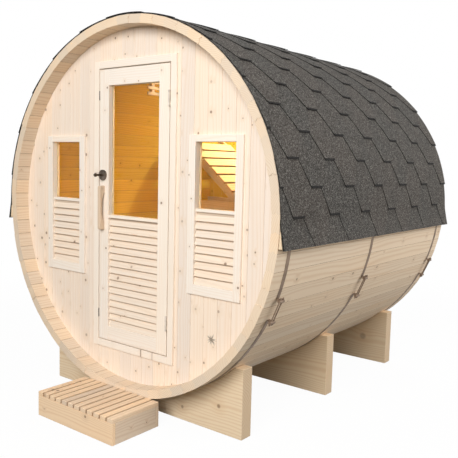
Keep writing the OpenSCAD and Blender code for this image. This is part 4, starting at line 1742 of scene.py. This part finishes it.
@dataclass
class Inside:
    """What shows through the panes: the floor, the lounger back and the lamp shade."""

    floor_pitch: float = 0.095
    floor_joint: float = 0.004
    floor_half: float = 0.515
    floor_arris: float = 0.002
    slat_arris: float = 0.002
    # How dark the painted shade in the gaps between the lounger's slats is
    slat_gap_shade: float = 0.8
    seed: int = 61

    def build(self, shop: Workshop) -> None:
        """Builds the floor, lounger back and shade.

        Args:
            shop: The frame, finishes and trees.
        """
        wood = shop.finishes.inside
        self.build_floor(shop)
        shop.timbers("lounger_frame_timbers", ("lounger_frames",), Body.CABIN, wood,
                     self.seed + 1)
        shop.slat_run("lounger_slat_run", "lounger_slats", Body.CABIN, wood, self.seed + 2,
                      lambda place: place.z, self.slat_arris, seam_and_shade=self.slat_gap_shade)
        shop.timbers("lamp_shade_timbers", ("lamp_shade",), Body.CABIN, wood, self.seed + 3)

    def build_floor(self, shop: Workshop) -> None:
        """Saws the floor into boards along the barrel.

        Args:
            shop: The frame and finishes.
        """
        count = math.ceil(2 * self.floor_half / self.floor_pitch)
        first = -count * self.floor_pitch / 2
        deck = new_solid()
        for i in range(count):
            board = solids_of(shop.frame, ["floor_deck"])
            low = first + i * self.floor_pitch + self.floor_joint / 2
            high = first + (i + 1) * self.floor_pitch - self.floor_joint / 2
            for spot, side in ((low, -1.0), (high, 1.0)):
                saw(board, (spot, 0, 0), (side, 0, 0))
            bmesh.ops.recalc_face_normals(board, faces=board.faces)
            take_in(deck, board)
        ease(deck, self.floor_arris)
        lay_grain(deck, self.seed)
        piece = piece_of(deck, "floor_boards", shop.finishes.inside)
        hand_over(piece, Body.CABIN, ["floor_deck"])


@dataclass(frozen=True)
class Lamp:
    """A lamp at its place."""

    name: str
    place: Place
    power: float
    colour: Colour

    def lit(self, kind: str) -> Object:
        """Puts a lamp of a kind in the scene.

        Args:
            kind: The lamp data's type.

        Returns:
            The lamp's object.
        """
        lamp = bpy.data.lights.new(self.name, kind)
        lamp.energy = self.power
        lamp.color = self.colour
        holder = bpy.data.objects.new(self.name, lamp)
        holder.location = self.place
        bpy.context.scene.collection.objects.link(holder)
        return holder


@dataclass(frozen=True)
class Softbox(Lamp):
    """A square lamp that faces a point."""

    target: Place
    size: float

    def hang(self) -> None:
        """Puts the lamp in the scene."""
        holder = self.lit("AREA")
        holder.data.shape = "SQUARE"
        holder.data.size = self.size
        aim = Vector(self.target) - Vector(self.place)
        holder.rotation_euler = aim.to_track_quat("-Z", "Y").to_euler()


@dataclass(frozen=True)
class Bulb(Lamp):
    """A small round lamp inside the cabin."""

    radius: float

    def hang(self) -> None:
        """Puts the lamp in the scene."""
        self.lit("POINT").data.shadow_soft_size = self.radius


@dataclass
class Studio:
    """The camera at the picture's angle, the lamps, the pale floor and the white background."""

    eye: Place = (2.5090, -3.2995, 1.3584)
    yaw: float = 0.66313
    pitch: float = -0.10208
    roll: float = 0.0250
    lens: float = 50.02
    sensor: float = 36.0
    ambient: float = 0.33
    floor_half: float = 40.0
    floor_shown: Colour = (0.92, 0.92, 0.92)
    floor_lit: Colour = (0.13, 0.11, 0.075)
    floor_roughness: float = 0.9
    floor_glow: float = 0.96
    glow_reach: Point = (2.2, 5.0)
    lamps: tuple[Softbox | Bulb, ...] = (
        Softbox("key_softbox", (2.1, -5.9, 3.5), 328.0, (1.0, 0.995, 0.985), (0.0, -0.6, 1.0), size=3.0),
        Softbox("side_softbox", (5.6, 2.2, 3.0), 226.0, WHITE, (0.6, 0.2, 1.1), size=4.0),
        Softbox("rear_softbox", (-4.8, 3.9, 3.2), 150.0, WHITE, (0.0, 0.2, 1.1), size=4.0),
        Softbox("shade_lamp", (-0.455, -0.27, 1.84), 0.05, (1.0, 0.93, 0.84), (-0.60, -0.27, 1.84),
                size=0.09),
        Bulb("cabin_lamp", (-0.30, 0.79, 1.84), 26.0, (1.0, 0.97, 0.85), radius=0.03),
    )

    def build(self) -> None:
        """Sets up the whole studio."""
        self.place_camera()
        for lamp in self.lamps:
            lamp.hang()
        self.lay_floor()
        self.light_world()
        bpy.context.scene.view_settings.view_transform = "Standard"

    def place_camera(self) -> None:
        """Puts the camera at the picture's angle."""
        ahead = Vector((-math.sin(self.yaw) * math.cos(self.pitch),
                        math.cos(self.yaw) * math.cos(self.pitch), math.sin(self.pitch)))
        level = Vector((math.cos(self.yaw), math.sin(self.yaw), 0.0))
        upright = level.cross(ahead)
        right = level * math.cos(self.roll) + upright * math.sin(self.roll)
        up = upright * math.cos(self.roll) - level * math.sin(self.roll)
        camera = bpy.data.cameras.new("picture_camera")
        camera.lens = self.lens
        camera.sensor_width = self.sensor
        holder = bpy.data.objects.new("picture_camera", camera)
        turn = Matrix((right, up, -ahead)).transposed()
        holder.matrix_world = Matrix.Translation(self.eye) @ turn.to_4x4()
        bpy.context.scene.collection.objects.link(holder)
        bpy.context.scene.camera = holder

    @staticmethod
    def seen(nodes: Nodes) -> NodeSocket:
        """A switch that is 1 for rays that show the background, straight, mirrored or through glass."""
        path = nodes.add("ShaderNodeLightPath").outputs
        first = nodes.math("MAXIMUM", path["Is Camera Ray"], path["Is Glossy Ray"])
        return nodes.math("MAXIMUM", first, path["Is Transmission Ray"])

    def lay_floor(self) -> None:
        """Lays the floor: pale to the lamps, near white to the eye, with the shadow kept."""
        shader = Shader("studio_floor")
        seen = self.seen(shader)
        shader.set(Base_Color=shader.mix(seen, self.floor_lit, self.floor_shown),
                   Roughness=self.floor_roughness, Specular_IOR_Level=0.0)
        glow = shader.add("ShaderNodeEmission", {"Color": WHITE, "Strength": 1.0}).outputs[0]
        x, y, _ = shader.split(shader.place())
        white = shader.ramp(shader.length(x, y), *self.glow_reach, self.floor_glow, 1.0)
        share = shader.times(seen, white)
        blend = shader.add("ShaderNodeMixShader", {0: share, 1: shader.surface.outputs[0], 2: glow})
        shader.feed(shader.tree.nodes["Material Output"].inputs["Surface"], blend.outputs[0])
        half = self.floor_half
        mesh = bpy.data.meshes.new("studio_floor")
        corners = [(-half, -half, 0), (half, -half, 0), (half, half, 0), (-half, half, 0)]
        mesh.from_pydata(corners, [], [range(4)])
        mesh.materials.append(shader.material)
        show(mesh, "studio_floor")

    def light_world(self) -> None:
        """Lights the world evenly and shows it as white."""
        world = bpy.data.worlds.new("studio_world")
        world.use_nodes = True
        bpy.context.scene.world = world
        nodes = Nodes(world.node_tree)
        even = world.node_tree.nodes["Background"]
        nodes.feed(even.inputs["Color"], WHITE)
        nodes.feed(even.inputs["Strength"], self.ambient)
        white = nodes.add("ShaderNodeBackground", {"Color": WHITE, "Strength": 1.0})
        feeds = {0: self.seen(nodes), 1: even.outputs[0], 2: white.outputs[0]}
        blend = nodes.add("ShaderNodeMixShader", feeds)
        nodes.feed(world.node_tree.nodes["World Output"].inputs["Surface"], blend.outputs[0])


def main() -> None:
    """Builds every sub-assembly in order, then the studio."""
    logging.basicConfig(level=logging.INFO, format="%(name)s %(message)s")
    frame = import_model()
    shop = Workshop(frame, Finishes(), Trees())
    for assembly in (Barrel(), Doorway(), Windows(), Roof(), Hoops(), Groundwork(), Inside()):
        assembly.build(shop)
    Studio().build()


if __name__ == "__main__":
    main()
